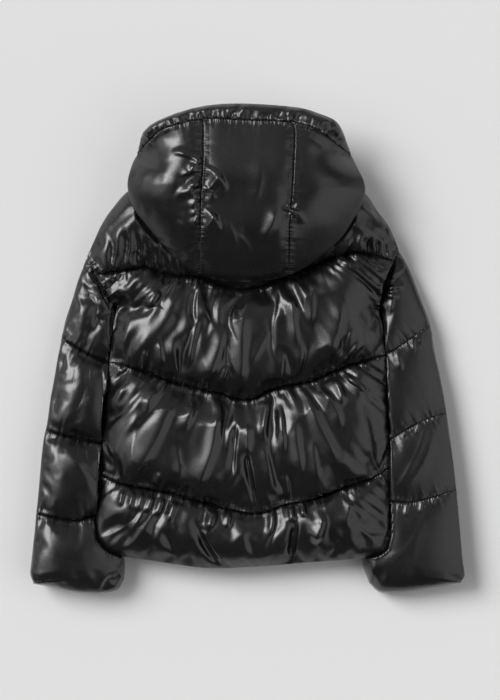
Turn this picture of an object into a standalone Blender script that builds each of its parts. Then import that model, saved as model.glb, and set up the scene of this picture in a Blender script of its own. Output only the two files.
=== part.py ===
"""Hooded puffer jacket, laid out on a flat surface with its back up.

+X points to the wearer's right, +Y to the hood and +Z away from the surface, which is z = 0.
The padded panels lie on each other: the fronts and the under sleeves rest on the surface,
the back and the upper sleeves lie on them, and the hood lies filled out on the back yoke.
Each panel is a padded wall with a puffed outer side and a plain inner side.
All sizes and tables are in millimetres, and MM turns them into metres.
"""

import math
from collections import namedtuple

import bmesh
import bpy
import numpy as np

MM = 0.001

# Clearances.
SEAM_GAP = 0.3
ARMHOLE_GAP = 0.4
CASING_GAP = 0.4
SLEEVE_TUCK_GAP = 1.5
HOOD_EDGE_INSET = 2.0

# Heights of the padding. The back lies on the fronts at MID_HEIGHT.
MID_HEIGHT = 46.0
BACK_PUFF = 38.0
SLEEVE_MID_OUTER = 36.0
SLEEVE_MID_INNER = 12.0
SLEEVE_PUFF = 41.0
EDGE_WALL = 3.0
SEAM_SHARE = 0.40
EDGE_ROUND = 48.0
SEAM_ROUND = 52.0
UNDER_ROUND = 30.0

# The side edge of the body lies on the inner edge of the sleeve.
SIDE_ROUND = 14.0
SLEEVE_LIFT = 24.0
LIFT_WIDTH = 55.0
LIFT_END = 95.0
TUCK_SLOPE = 1.6
HEM_MARGIN = 9.0

# The sleeves' inner side is a plane that rises from SLEEVE_INNER_X to SLEEVE_OUTER_X.
SLEEVE_INNER_X = 225.0
SLEEVE_OUTER_X = 365.0
SLEEVE_LEAN = 0.06

# Gathers along the quilted seams, one crest for every second column of a panel.
# Folds and gathers reach their full height where the padding has 1 / DETAIL_FADE of its own.
GATHER_RISE = 2.6
GATHER_REACH = 17.0
CASING_GATHER_RISE = 1.6
DETAIL_FADE = 1.6

# Hood: a hollow bag that stands on the yoke and opens towards +Y.
HOOD_WALL = 12.0
HOOD_UNDER_WALL = 9.0
HOOD_CROWN = 146.0
HOOD_MOUTH_CROWN = 124.0
HOOD_ROUND = 88.0
HOOD_SEAM_DIP = 5.0
HOOD_SEAM_REACH = 9.0
CASING_WALL = 15.0
CASING_ROLL = 13.0
CASING_ROUND = 15.0
YOKE_CLEARANCE = 0.35
HOOD_MIDDLE = (0.0, 250.0)
UNDER_SIDE_END_Y = 168.0
MOUTH_LEVEL = 34.0
LEVEL_FLAT_Y = 292.0
MOUTH_Y = 429.0
CROWN_FALL_Y = 290.0
FOOT_FLAT_Y = 298.0
FOOT_LOW_Y = 352.0
FOOT_LOW = 60.0
LOWER_MIDDLE = 34.0
LOWER_REACH = 195.0
LOWER_RISE = 3.0
LOWER_EDGE_LIFT = 24.0
FOOT_CLEARANCE = 2.6

# Front zip, between the two fronts.
ZIP_SLOT = 4.5
FRONT_SEAM_DROP = 12.0
ZIP_WIDTH = 8.4
ZIP_THICK = 4.0
ZIP_BOTTOM_Z = 9.0
ZIP_START_Y = -372.0
ZIP_END_Y = 384.0
SLIDER_LENGTH = 12.0
SLIDER_THICK = 9.0
ZIP_BEVEL = 0.8
SLIDER_BEVEL = 1.5

# Outlines and seams, each a run of points (x, y) that a smooth curve joins.
SHOULDER_LEFT = [(-281, 164), (-269, 191), (-256, 219), (-239, 245), (-207, 280), (-153, 304), (-92, 324)]
SHOULDER_RIGHT = [(94, 324), (153, 304), (204, 276), (228, 243), (249, 215), (264, 178)]
BACK_NECK = [(-92, 324), (-48, 309), (1, 303), (50, 309), (94, 324)]
ARMHOLE_LEFT = [(-281, 164), (-267, 138), (-249, 107), (-227, 74)]
ARMHOLE_RIGHT = [(264, 178), (256, 156), (248, 140), (237, 112), (230, 66)]
SIDE_LEFT = [(-227, 74), (-235, 40), (-242, -26), (-251, -122), (-258, -220), (-266, -305), (-265, -332)]
SIDE_RIGHT = [(230, 66), (238, 35), (241, -9), (244, -52), (248, -140), (248, -208), (250, -298), (249, -332)]
YOKE_SEAM = [
    (-265, 133), (-246, 135), (-207, 140), (-180, 143), (-141, 131), (-83, 124), (-8, 105),
    (73, 130), (127, 150), (174, 168), (211, 167), (256, 156),
]
UPPER_SEAM = [
    (-242, -23), (-225, -24), (-130, -56), (-57, -74), (-1, -86), (43, -70), (109, -54), (178, -28),
    (241, -9),
]
LOWER_SEAM = [
    (-258, -220), (-204, -238), (-143, -250), (-73, -268), (6, -284), (64, -271), (118, -259),
    (207, -228), (248, -208),
]
HEM = [
    (-265, -332), (-251, -348), (-225, -360), (-169, -369), (-73, -382), (10, -380), (99, -373),
    (207, -364), (239, -353), (249, -332),
]

SLEEVE_LEFT_OUTER = [
    (-281, 164), (-297, 124), (-309, 84), (-319, 54), (-326, 21), (-333, -12), (-340, -51), (-346, -84),
    (-353, -131), (-360, -168), (-370, -284), (-379, -371), (-381, -392), (-375, -410),
]
SLEEVE_LEFT_INNER = [
    (-227, 74), (-229, 46), (-226, 9), (-221, -28), (-228, -168), (-225, -290), (-216, -371), (-218, -404),
]
SLEEVE_RIGHT_OUTER = [
    (264, 178), (284, 142), (304, 91), (321, 44), (328, 0), (337, -40), (346, -88), (358, -175),
    (367, -262), (372, -315), (377, -368), (380.6, -394), (374, -408),
]
SLEEVE_RIGHT_INNER = [
    (230, 66), (232, 40), (229, 4), (225, -35), (232, -168), (226, -290), (203, -366), (214, -410),
]
SLEEVE_LEFT_SEAMS = [
    [(-326, 21), (-279, -7), (-242, -23), (-221, -28)],
    [(-354, -140), (-311, -152), (-270, -161), (-228, -170)],
    [(-370, -287), (-304, -298), (-274, -292), (-225, -290)],
]
SLEEVE_RIGHT_SEAMS = [
    [(321, 44), (309, 37), (263, 4), (239, -9), (225, -32)],
    [(349, -110), (314, -121), (284, -136), (248, -158), (232, -168)],
    [(366, -243), (356, -248), (293, -266), (253, -266), (228, -273)],
]
CUFF_LEFT = [(-375, -410), (-335, -418), (-298, -425), (-258, -427), (-230, -422), (-218, -404)]
CUFF_RIGHT = [(374, -408), (328, -416), (276, -425), (235, -427), (214, -410)]

HOOD_SIDE_LEFT = [(-193, 340), (-201, 324), (-209, 287), (-199, 248), (-174, 214), (-143, 178), (-112, 150)]
HOOD_SIDE_RIGHT = [(181, 340), (194, 315), (207, 285), (200, 262), (186, 234), (160, 192), (110, 150)]
HOOD_FOLD = [(-112, 150), (-83, 132), (-48, 122), (-8, 119), (31, 121), (73, 130), (110, 150)]
HOOD_TOP = [
    (-191, 346), (-178, 383), (-132, 408), (-74, 424), (-8, 428), (81, 422), (123, 411), (158, 393),
    (179, 346),
]
CASING_SEAM = [
    (-193, 340), (-176, 362), (-144, 391), (-76, 409), (-8, 406), (69, 403), (113, 392), (146, 368),
    (181, 340),
]
HOOD_SEAM_LEFT = [(-76, 409), (-76, 355), (-76, 322), (-80, 254), (-81, 194), (-83, 132)]
HOOD_SEAM_RIGHT = [(81, 401), (83, 376), (81, 322), (78, 268), (76, 238), (74, 194), (73, 130)]
UNDER_NECK = [(-204, 278), (-153, 300), (-92, 320), (1, 299), (94, 320), (153, 300), (202, 274)]
FRONT_NECK_LEFT = [(-92, 324), (-62, 288), (-4.5, 262)]
FRONT_NECK_RIGHT = [(4.5, 262), (62, 288), (94, 324)]
LOWER_LIP_LEFT = [(-187, 346), (-165, 372), (-120, 388), (-60, 396), (-4.5, 398)]
LOWER_LIP_RIGHT = [(4.5, 398), (60, 396), (110, 388), (150, 372), (174, 346)]

# The largest folds: a ridge, or a trough where rise is negative, from one end to the other.
Fold = namedtuple("Fold", "x0 y0 x1 y1 width rise")
BACK_FOLDS = [
    Fold(-202, 126, -221, -21, 26, 6), Fold(-90, 105, -115, 24, 13, -6), Fold(-90, 49, -106, -28, 13, 6),
    Fold(-45, 32, -71, -42, 14, 7), Fold(-10, 60, -10, -61, 16, 7), Fold(-10, 98, -36, 52, 11, -6),
    Fold(-36, 52, -27, 5, 11, -6), Fold(83, 96, 87, 12, 14, 7), Fold(160, 102, 120, -38, 16, 8),
    Fold(58, 96, 60, -30, 14, -4), Fold(196, 120, 205, 40, 18, 4), Fold(-230, -40, -234, -100, 18, 5),
    Fold(-125, -89, -197, -214, 17, 7), Fold(-41, -86, -64, -172, 14, 8), Fold(-64, -172, -90, -243, 14, 8),
    Fold(4, -135, -6, -196, 12, 7), Fold(41, -86, 31, -149, 13, 6), Fold(60, -110, 62, -186, 13, 7),
    Fold(85, -124, 90, -217, 12, 6), Fold(95, -82, 160, -206, 18, 7), Fold(111, -60, 164, -128, 14, 7),
    Fold(150, -46, 165, -96, 12, 6), Fold(160, -42, 207, -79, 13, 6), Fold(-8, -161, 10, -275, 13, -6),
    Fold(-24, -98, -40, -210, 12, -5), Fold(-66, -275, -69, -310, 12, 6), Fold(43, -282, 41, -320, 12, 6),
    Fold(95, -268, 97, -289, 11, 5), Fold(132, -289, 118, -336, 16, 8), Fold(-73, -324, -43, -378, 13, -6),
    Fold(85, -303, 78, -371, 13, -6), Fold(-185, -270, -205, -330, 22, 5), Fold(-236, 200, -240, 160, 13, 6),
    Fold(-212, 215, -216, 150, 13, 6), Fold(-189, 205, -192, 150, 12, 5), Fold(214, 205, 216, 172, 11, -5),
    Fold(236, 200, 238, 168, 11, -5), Fold(160, 205, 128, 160, 12, 5),
]
SLEEVE_FOLDS = [
    Fold(-268, 128, -256, 96, 11, -6), Fold(-287, 118, -262, 70, 12, 5), Fold(-270, 60, -238, 48, 12, 5),
    Fold(-300, -62, -276, -118, 18, 6), Fold(-262, -18, -250, -150, 13, 6),
    Fold(-310, -165, -262, -265, 14, -6), Fold(-290, -168, -252, -240, 11, 5),
    Fold(-318, -308, -300, -395, 16, 5), Fold(262, 0, 270, -34, 11, -6),
    Fold(262, 110, 252, 60, 12, -6), Fold(316, -124, 254, -252, 14, -7),
    Fold(338, -200, 300, -256, 13, 5), Fold(310, -332, 268, -416, 14, 5),
    Fold(290, -300, 262, -372, 12, -5), Fold(308, 20, 318, -90, 20, 4),
]
HOOD_FOLDS = [
    Fold(-124, 343, -82, 322, 11, 6), Fold(-112, 300, -82, 314, 10, -5), Fold(-118, 272, -84, 268, 12, 7),
    Fold(-100, 232, -83, 250, 10, 6), Fold(-70, 315, -34, 274, 11, 6), Fold(-74, 243, -46, 205, 11, 6),
    Fold(50, 240, 26, 188, 12, 6), Fold(74, 243, 96, 230, 10, 5), Fold(92, 390, 142, 366, 9, -6),
    Fold(-150, 240, -130, 200, 18, 4),
]

# Panel grids: shares of a panel's width and height, close together where the padding rounds off.
EDGE_SHARES = (0.0, 0.011, 0.030, 0.056)
BACK_COLUMNS = 38
BACK_ROWS = (0.0, 0.035, 0.11, 0.22, 0.36, 0.5, 0.64, 0.78, 0.89, 0.965, 1.0)
FRONT_COLUMNS = (0.0, 0.016, 0.034, 0.060, 0.22, 0.38, 0.70, 1.0)
FRONT_YOKE_COLUMNS = (0.0, 0.05, 0.12, 0.20, 0.30, 0.40, 0.50, 0.58, 0.66, 0.74, 0.82, 0.90, 1.0)
UPPER_SLEEVE_COLUMNS = (
    0.0, 0.022, 0.07, 0.15, 0.23, 0.31, 0.39, 0.47, 0.55, 0.63, 0.71, 0.79, 0.86, 0.93, 1.0,
)
UPPER_SLEEVE_ROWS = (0.0, 0.05, 0.14, 0.28, 0.44, 0.60, 0.75, 0.87, 0.955, 1.0)
UNDER_SLEEVE_COLUMNS = (0.0, 0.03, 0.09, 0.2, 0.5, 0.85, 0.95, 1.0)
UNDER_SLEEVE_ROWS = (0.0, 0.06, 0.5, 0.94, 1.0)
HOOD_SIDE_COLUMNS = (0.0, 0.03, 0.09, 0.19, 0.32, 0.46, 0.60, 0.73, 0.84, 0.93, 1.0)
HOOD_ROWS = (0.0, 0.05, 0.12, 0.20, 0.28, 0.36, 0.44, 0.52, 0.60, 0.69, 0.78, 0.86, 0.93, 0.975, 1.0)
HOOD_CENTRE_COLUMNS = (0.0, 0.06, 0.15, 0.27, 0.40, 0.5, 0.60, 0.73, 0.85, 0.94, 1.0)
CASING_COLUMNS = 36
CASING_ROWS = (0.0, 0.3, 0.65, 1.0)
UNDER_COLUMNS = 16
UNDER_ROWS = 7
LOWER_ROWS = (0.0, 0.12, 0.25, 0.4, 0.55, 0.7, 0.85, 1.0)

SHELL_COLOUR = (0.012, 0.012, 0.013, 1.0)
ZIP_COLOUR = (0.02, 0.02, 0.02, 1.0)


def smooth_path(points, steps=6):
    """A Catmull-Rom curve through the points, as an array of close points."""
    known = np.array(points, float)
    ends = np.vstack([2 * known[0] - known[1], known, 2 * known[-1] - known[-2]])
    path = []
    for before, start, end, after in zip(ends, ends[1:], ends[2:], ends[3:]):
        for step in range(steps):
            t = step / steps
            path.append(
                0.5 * (2 * start + (end - before) * t + (2 * before - 5 * start + 4 * end - after) * t**2
                       + (3 * start - before - 3 * end + after) * t**3)
            )
    path.append(known[-1])
    return np.array(path)


def at_share(path, share):
    """The point at that share of the path's length."""
    shares = vertex_shares(path)
    return np.array([np.interp(share, shares, path[:, axis]) for axis in (0, 1)])


def between(path, high, low):
    """The stretch of a downward path from the height high to the height low."""
    high_x, low_x = np.interp([-high, -low], -path[:, 1], path[:, 0])
    kept = [point for point in path if low < point[1] < high]
    return np.array([(high_x, high), *kept, (low_x, low)])


def moved(path, dx=0.0, dy=0.0):
    return path + np.array([dx, dy])


def joined(path, start, end):
    """The path with other end points."""
    return np.vstack([[start], path[1:-1], [end]])


def inside(path, x, y):
    """Whether (x, y) lies within a path whose ends are joined."""
    found = False
    for (x0, y0), (x1, y1) in zip(path, np.roll(path, -1, axis=0)):
        if (y0 > y) != (y1 > y) and x < x0 + (y - y0) * (x1 - x0) / (y1 - y0):
            found = not found
    return found


def vertex_shares(path):
    """Each point's share of the path's length."""
    lengths = np.concatenate([[0.0], np.cumsum(np.hypot(*np.diff(path, axis=0).T))])
    return lengths / lengths[-1]


def inset(path, depth, inner_point):
    """The path moved sideways by depth, towards the side on which inner_point lies."""
    tangent = np.gradient(path, axis=0)
    normal = np.stack([-tangent[:, 1], tangent[:, 0]], axis=1)
    normal /= np.linalg.norm(normal, axis=1)[:, None]
    middle = len(path) // 2
    side = np.sign(np.dot(np.array(inner_point) - path[middle], normal[middle]))
    return path + side * depth * normal


def distance(path, x, y):
    """The distance from (x, y) to a path."""
    start = path[:-1]
    run = path[1:] - start
    to_point = np.array([x, y]) - start
    share = np.clip((to_point * run).sum(1) / (run * run).sum(1), 0, 1)
    return float(np.min(np.hypot(*(to_point - share[:, None] * run).T)))


def quarter_round(share):
    """The height of a quarter circle of radius 1, at that distance from its foot."""
    return math.sqrt(1 - (1 - min(share, 1)) ** 2)


def smooth_step(value):
    value = min(max(value, 0.0), 1.0)
    return value * value * (3 - 2 * value)


def patch(top, bottom, left, right, columns, rows):
    """Rows of points (x, y) that fill the space between four paths."""
    grid = []
    for v in rows:
        row = []
        for u in columns:
            side_left = at_share(left, v) - (1 - v) * left[0] - v * left[-1]
            side_right = at_share(right, v) - (1 - v) * right[0] - v * right[-1]
            row.append(
                (1 - v) * at_share(top, u) + v * at_share(bottom, u) + (1 - u) * side_left + u * side_right
            )
        grid.append(row)
    return grid


def even(count):
    return [index / count for index in range(count + 1)]


def edged(count):
    """Shares across a wide panel: even in the middle, close together at both edges."""
    last = EDGE_SHARES[-1]
    middle = [last + (1 - 2 * last) * share for share in even(count)[1:-1]]
    return [*EDGE_SHARES, *middle, *(1 - share for share in reversed(EDGE_SHARES))]


def cloth_material(name, colour, roughness):
    material = bpy.data.materials.new(name)
    material.use_nodes = True
    shader = material.node_tree.nodes["Principled BSDF"]
    shader.inputs["Base Color"].default_value = colour
    shader.inputs["Roughness"].default_value = roughness
    shader.inputs["Metallic"].default_value = 0.0
    return material


def add_object(name, bm, material, parent):
    for vert in bm.verts:
        vert.co *= MM
    bmesh.ops.recalc_face_normals(bm, faces=bm.faces)
    mesh = bpy.data.meshes.new(name)
    bm.to_mesh(mesh)
    bm.free()
    mesh.materials.append(material)
    mesh.shade_smooth()
    mesh.set_sharp_from_angle(angle=math.radians(50))
    panel = bpy.data.objects.new(name, mesh)
    parent.users_collection[0].objects.link(panel)
    panel.parent = parent
    return panel


def add_wall(name, near_side, far_side, material, parent, plain=True):
    """A closed padded wall between two grids of points of the same count.

    near_side is the inner grid. Where it is plain, its faces are joined into one.
    """
    bm = bmesh.new()
    columns = len(near_side[0])
    bmesh.ops.create_grid(bm, x_segments=columns - 1, y_segments=len(near_side) - 1, size=1.0)
    place = bm.verts.layers.int.new("place")
    for index, vert in enumerate(bm.verts):
        vert[place] = index
    near_faces = list(bm.faces)
    copy = bmesh.ops.extrude_face_region(bm, geom=near_faces, use_keep_orig=True)
    far_verts = {item for item in copy["geom"] if isinstance(item, bmesh.types.BMVert)}
    for vert in bm.verts:
        row, column = divmod(vert[place], columns)
        vert.co = (far_side if vert in far_verts else near_side)[row][column]
    if plain:
        bmesh.ops.dissolve_faces(bm, faces=near_faces, use_verts=False)
    return add_object(name, bm, material, parent)


def with_height(grid, height):
    """The grid's points with the height that height(x, y, column) gives."""
    return [[(x, y, height(x, y, column)) for column, (x, y) in enumerate(row)] for row in grid]


def fold_rise(folds, x, y):
    total = 0.0
    for fold in folds:
        line = np.array([(fold.x0, fold.y0), (fold.x1, fold.y1)], float)
        apart = distance(line, x, y)
        if apart < fold.width:
            total += fold.rise * math.cos(0.5 * math.pi * apart / fold.width) ** 2
    return total


def gather(seams, x, y, column):
    nearest = min(distance(seam, x, y) for seam in seams)
    return GATHER_RISE * (-1) ** column * math.exp(-nearest / GATHER_REACH)


def puffed(x, y, edges, seams):
    """The share of the full padding at (x, y): rounded off at edges, partly drawn in at seams."""
    share = quarter_round(min(distance(edge, x, y) for edge in edges) / EDGE_ROUND)
    for seam in seams:
        drawn = SEAM_SHARE + (1 - SEAM_SHARE) * quarter_round(distance(seam, x, y) / SEAM_ROUND)
        share *= drawn
    return share


# The body's paths. Sides run from top to bottom, seams from the wearer's left to the right.
shoulder_left = smooth_path(SHOULDER_LEFT)
shoulder_right = smooth_path(SHOULDER_RIGHT)
shoulders = np.vstack([shoulder_left[:-1], smooth_path(BACK_NECK)[:-1], shoulder_right])
body_left = np.vstack([smooth_path(ARMHOLE_LEFT)[:-1], smooth_path(SIDE_LEFT)])
body_right = np.vstack([smooth_path(ARMHOLE_RIGHT)[:-1], smooth_path(SIDE_RIGHT)])
armhole_left = smooth_path(ARMHOLE_LEFT)
armhole_right = smooth_path(ARMHOLE_RIGHT)
side_left = smooth_path(SIDE_LEFT)
side_right = smooth_path(SIDE_RIGHT)
hem = smooth_path(HEM)
back_seams = [smooth_path(YOKE_SEAM), smooth_path(UPPER_SEAM), smooth_path(LOWER_SEAM)]
body_outline = np.vstack([shoulders[:-1], body_right[:-1], hem[::-1][:-1], body_left[::-1]])
hood_closed = np.vstack([
    smooth_path(HOOD_SIDE_LEFT)[:-1],
    smooth_path(HOOD_FOLD)[:-1],
    smooth_path(HOOD_SIDE_RIGHT)[::-1],
])
hood_top = smooth_path(HOOD_TOP)
hood_seams = [smooth_path(HOOD_SEAM_LEFT), smooth_path(HOOD_SEAM_RIGHT)]
BACK_NAMES = ("yoke", "upper", "middle", "hem")


def stacked(first, seams, last, left, right, columns, rows):
    """The grids of the panels that the seams divide, each half a seam gap from its neighbour."""
    lines = [first, *seams, last]
    grids = []
    for number, (top, bottom) in enumerate(zip(lines, lines[1:])):
        upper = moved(top, dy=-SEAM_GAP / 2) if number else top
        lower = moved(bottom, dy=SEAM_GAP / 2) if number < len(seams) else bottom
        one_left = between(left, top[0][1], bottom[0][1])
        one_right = between(right, top[-1][1], bottom[-1][1])
        grids.append(patch(upper, lower, one_left, one_right, columns, rows))
    return grids


back_grids = stacked(shoulders, back_seams, hem, body_left, body_right, edged(BACK_COLUMNS), BACK_ROWS)


def build_back(material, parent):
    """Yoke, upper, middle and hem panels, puffed upwards from the plain inner side."""
    edges = [side_left, side_right, shoulders, hem]
    inner = MID_HEIGHT + SEAM_GAP / 2

    def height(x, y, column):
        share = puffed(x, y, edges, [*back_seams, armhole_left, armhole_right])
        detail = fold_rise(BACK_FOLDS, x, y) + gather(back_seams, x, y, column)
        if inside(hood_closed, x, y):
            detail = 0.0
        return inner + EDGE_WALL + (BACK_PUFF - EDGE_WALL) * share + detail * min(1.0, DETAIL_FADE * share)

    for name, grid in zip(BACK_NAMES, back_grids):
        near_side = with_height(grid, lambda x, y, column: inner)
        add_wall(f"back_{name}", near_side, with_height(grid, height), material, parent)


def front_under(x, y):
    """Height of a front's outer side: 0 where it rests, raised over the sleeve's inner edge."""
    deep = MID_HEIGHT - SEAM_GAP / 2 - EDGE_WALL
    to_side = min(distance(side_left, x, y), distance(side_right, x, y))
    lift = SLEEVE_LIFT * (1 - smooth_step((to_side - LIFT_WIDTH) / (LIFT_END - LIFT_WIDTH)))
    rounded = lift + (deep - lift) * (1 - quarter_round(to_side / SIDE_ROUND))
    to_edge = min(distance(edge, x, y) for edge in (hem, shoulder_left, shoulder_right))
    return max(rounded, deep * (1 - quarter_round(to_edge / UNDER_ROUND)))


def front_grids(side):
    """Four grids from the side edge to the zip, their seams level with the ends of the back's."""
    left = side == "left"
    centre_x = -ZIP_SLOT if left else ZIP_SLOT
    if left:
        top = np.vstack([shoulder_left[:-1], smooth_path(FRONT_NECK_LEFT)])
    else:
        top = np.vstack([smooth_path(FRONT_NECK_RIGHT)[:-1], shoulder_right])[::-1]
    end = 0 if left else -1
    seams = [np.array([seam[end], (centre_x, seam[end][1] - FRONT_SEAM_DROP)]) for seam in back_seams]
    half_hem = [point for point in (hem if left else hem[::-1]) if point[0] / centre_x > 1]
    bottom = np.vstack([half_hem, [(centre_x, half_hem[-1][1])]])
    centre = np.array([(centre_x, top[-1][1]), (centre_x, bottom[-1][1])], float)
    edge = body_left if left else body_right
    yoke = stacked(top, seams, bottom, edge, centre, FRONT_YOKE_COLUMNS, BACK_ROWS)[0]
    return [yoke, *stacked(top, seams, bottom, edge, centre, FRONT_COLUMNS, BACK_ROWS)[1:]]


def build_fronts(material, parent):
    """Yoke, upper, middle and hem panels of both fronts, flat where they rest."""
    inner = MID_HEIGHT - SEAM_GAP / 2
    for side in ("left", "right"):
        for name, grid in zip(BACK_NAMES, front_grids(side)):
            near_side = with_height(grid, lambda x, y, column: inner)
            far_side = with_height(grid, lambda x, y, column: front_under(x, y))
            add_wall(f"front_{side}_{name}", near_side, far_side, material, parent)


def build_sleeve(side, material, parent):
    """Upper and under sleeve, four panels each, on a tilted plane inner side."""
    left = side == "left"
    outer = smooth_path(SLEEVE_LEFT_OUTER if left else SLEEVE_RIGHT_OUTER)
    inner = smooth_path(SLEEVE_LEFT_INNER if left else SLEEVE_RIGHT_INNER)
    seams = [smooth_path(seam) for seam in (SLEEVE_LEFT_SEAMS if left else SLEEVE_RIGHT_SEAMS)]
    cuff = smooth_path(CUFF_LEFT if left else CUFF_RIGHT)
    armhole = armhole_left if left else armhole_right
    body_side = side_left if left else side_right
    away = -1 if left else 1
    body_edge = np.array([row[0 if left else -1] for grid in back_grids[:2] for row in grid])
    start = inset(body_edge[body_edge[:, 1] >= armhole[-1][1]], ARMHOLE_GAP, outer[-1])

    def middle(x, y):
        """Height of the plane between the upper and the under sleeve."""
        across = (away * x - SLEEVE_LEAN * y - SLEEVE_INNER_X) / (SLEEVE_OUTER_X - SLEEVE_INNER_X)
        return SLEEVE_MID_INNER + (SLEEVE_MID_OUTER - SLEEVE_MID_INNER) * across

    def tuck_limit(x, y):
        """Highest that the sleeve reaches near and under the edge of the body."""
        if y > body_side[0][1]:
            return math.inf
        outside = 0.0
        if not inside(body_outline, x, y):
            outside = max(0.0, min(distance(body_side, x, y), distance(hem, x, y) - HEM_MARGIN))
        return SLEEVE_LIFT - SLEEVE_TUCK_GAP + outside * TUCK_SLOPE

    def upper_height(x, y, column):
        floor = middle(x, y) + SEAM_GAP / 2
        share = puffed(x, y, [outer, inner, cuff], [*seams, armhole])
        detail = fold_rise(SLEEVE_FOLDS, x, y) + gather(seams, x, y, column)
        puff = EDGE_WALL + (SLEEVE_PUFF - EDGE_WALL) * share + detail * min(1.0, DETAIL_FADE * share)
        return max(floor + EDGE_WALL, min(floor + puff, tuck_limit(x, y)))

    def under_height(x, y, column):
        deep = middle(x, y) - SEAM_GAP / 2 - EDGE_WALL
        to_edge = min(distance(edge, x, y) for edge in (outer, inner, cuff))
        return deep * (1 - quarter_round(to_edge / UNDER_ROUND))

    paths = (start, seams, cuff, outer, inner)
    for number, grid in enumerate(stacked(*paths, UPPER_SLEEVE_COLUMNS, UPPER_SLEEVE_ROWS), 1):
        near_side = with_height(grid, lambda x, y, column: middle(x, y) + SEAM_GAP / 2)
        far_side = with_height(grid, upper_height)
        add_wall(f"sleeve_{side}_upper_{number}", near_side, far_side, material, parent)
    for number, grid in enumerate(stacked(*paths, UNDER_SLEEVE_COLUMNS, UNDER_SLEEVE_ROWS), 1):
        near_side = with_height(grid, lambda x, y, column: middle(x, y) - SEAM_GAP / 2)
        far_side = with_height(grid, under_height)
        add_wall(f"sleeve_{side}_under_{number}", near_side, far_side, material, parent)


def rest_level(y):
    """Height of the hood's lowest wall: flat over the yoke, falling beyond the neck."""
    flat = MID_HEIGHT + SEAM_GAP / 2 + BACK_PUFF + YOKE_CLEARANCE
    return MOUTH_LEVEL + (flat - MOUTH_LEVEL) * smooth_step((MOUTH_Y - y) / (MOUTH_Y - LEVEL_FLAT_Y))


def hood_foot(y):
    """Height of the hood's closed edge: on the wall under it, then down beyond the shoulders."""
    flat = rest_level(LEVEL_FLAT_Y) + HOOD_UNDER_WALL + SEAM_GAP
    return FOOT_LOW + (flat - FOOT_LOW) * smooth_step((FOOT_LOW_Y - y) / (FOOT_LOW_Y - FOOT_FLAT_Y))


def hood_height(x, y, depth=0.0):
    """Height of the hood's wall, depth below its outer side."""
    to_edge = max(0.0, distance(hood_closed, x, y) - depth)
    fall = smooth_step((y - CROWN_FALL_Y) / (MOUTH_Y - CROWN_FALL_Y))
    crown = HOOD_CROWN + (HOOD_MOUTH_CROWN - HOOD_CROWN) * fall - depth
    foot = hood_foot(y)
    height = foot + (crown - foot) * quarter_round(to_edge / (HOOD_ROUND - depth))
    if depth == 0.0:
        to_seam = min(distance(seam, x, y) for seam in hood_seams)
        height -= HOOD_SEAM_DIP * math.exp(-to_seam / HOOD_SEAM_REACH) * quarter_round(to_edge / HOOD_ROUND)
        height += fold_rise(HOOD_FOLDS, x, y) * quarter_round(to_edge / HOOD_ROUND)
    return height


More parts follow.
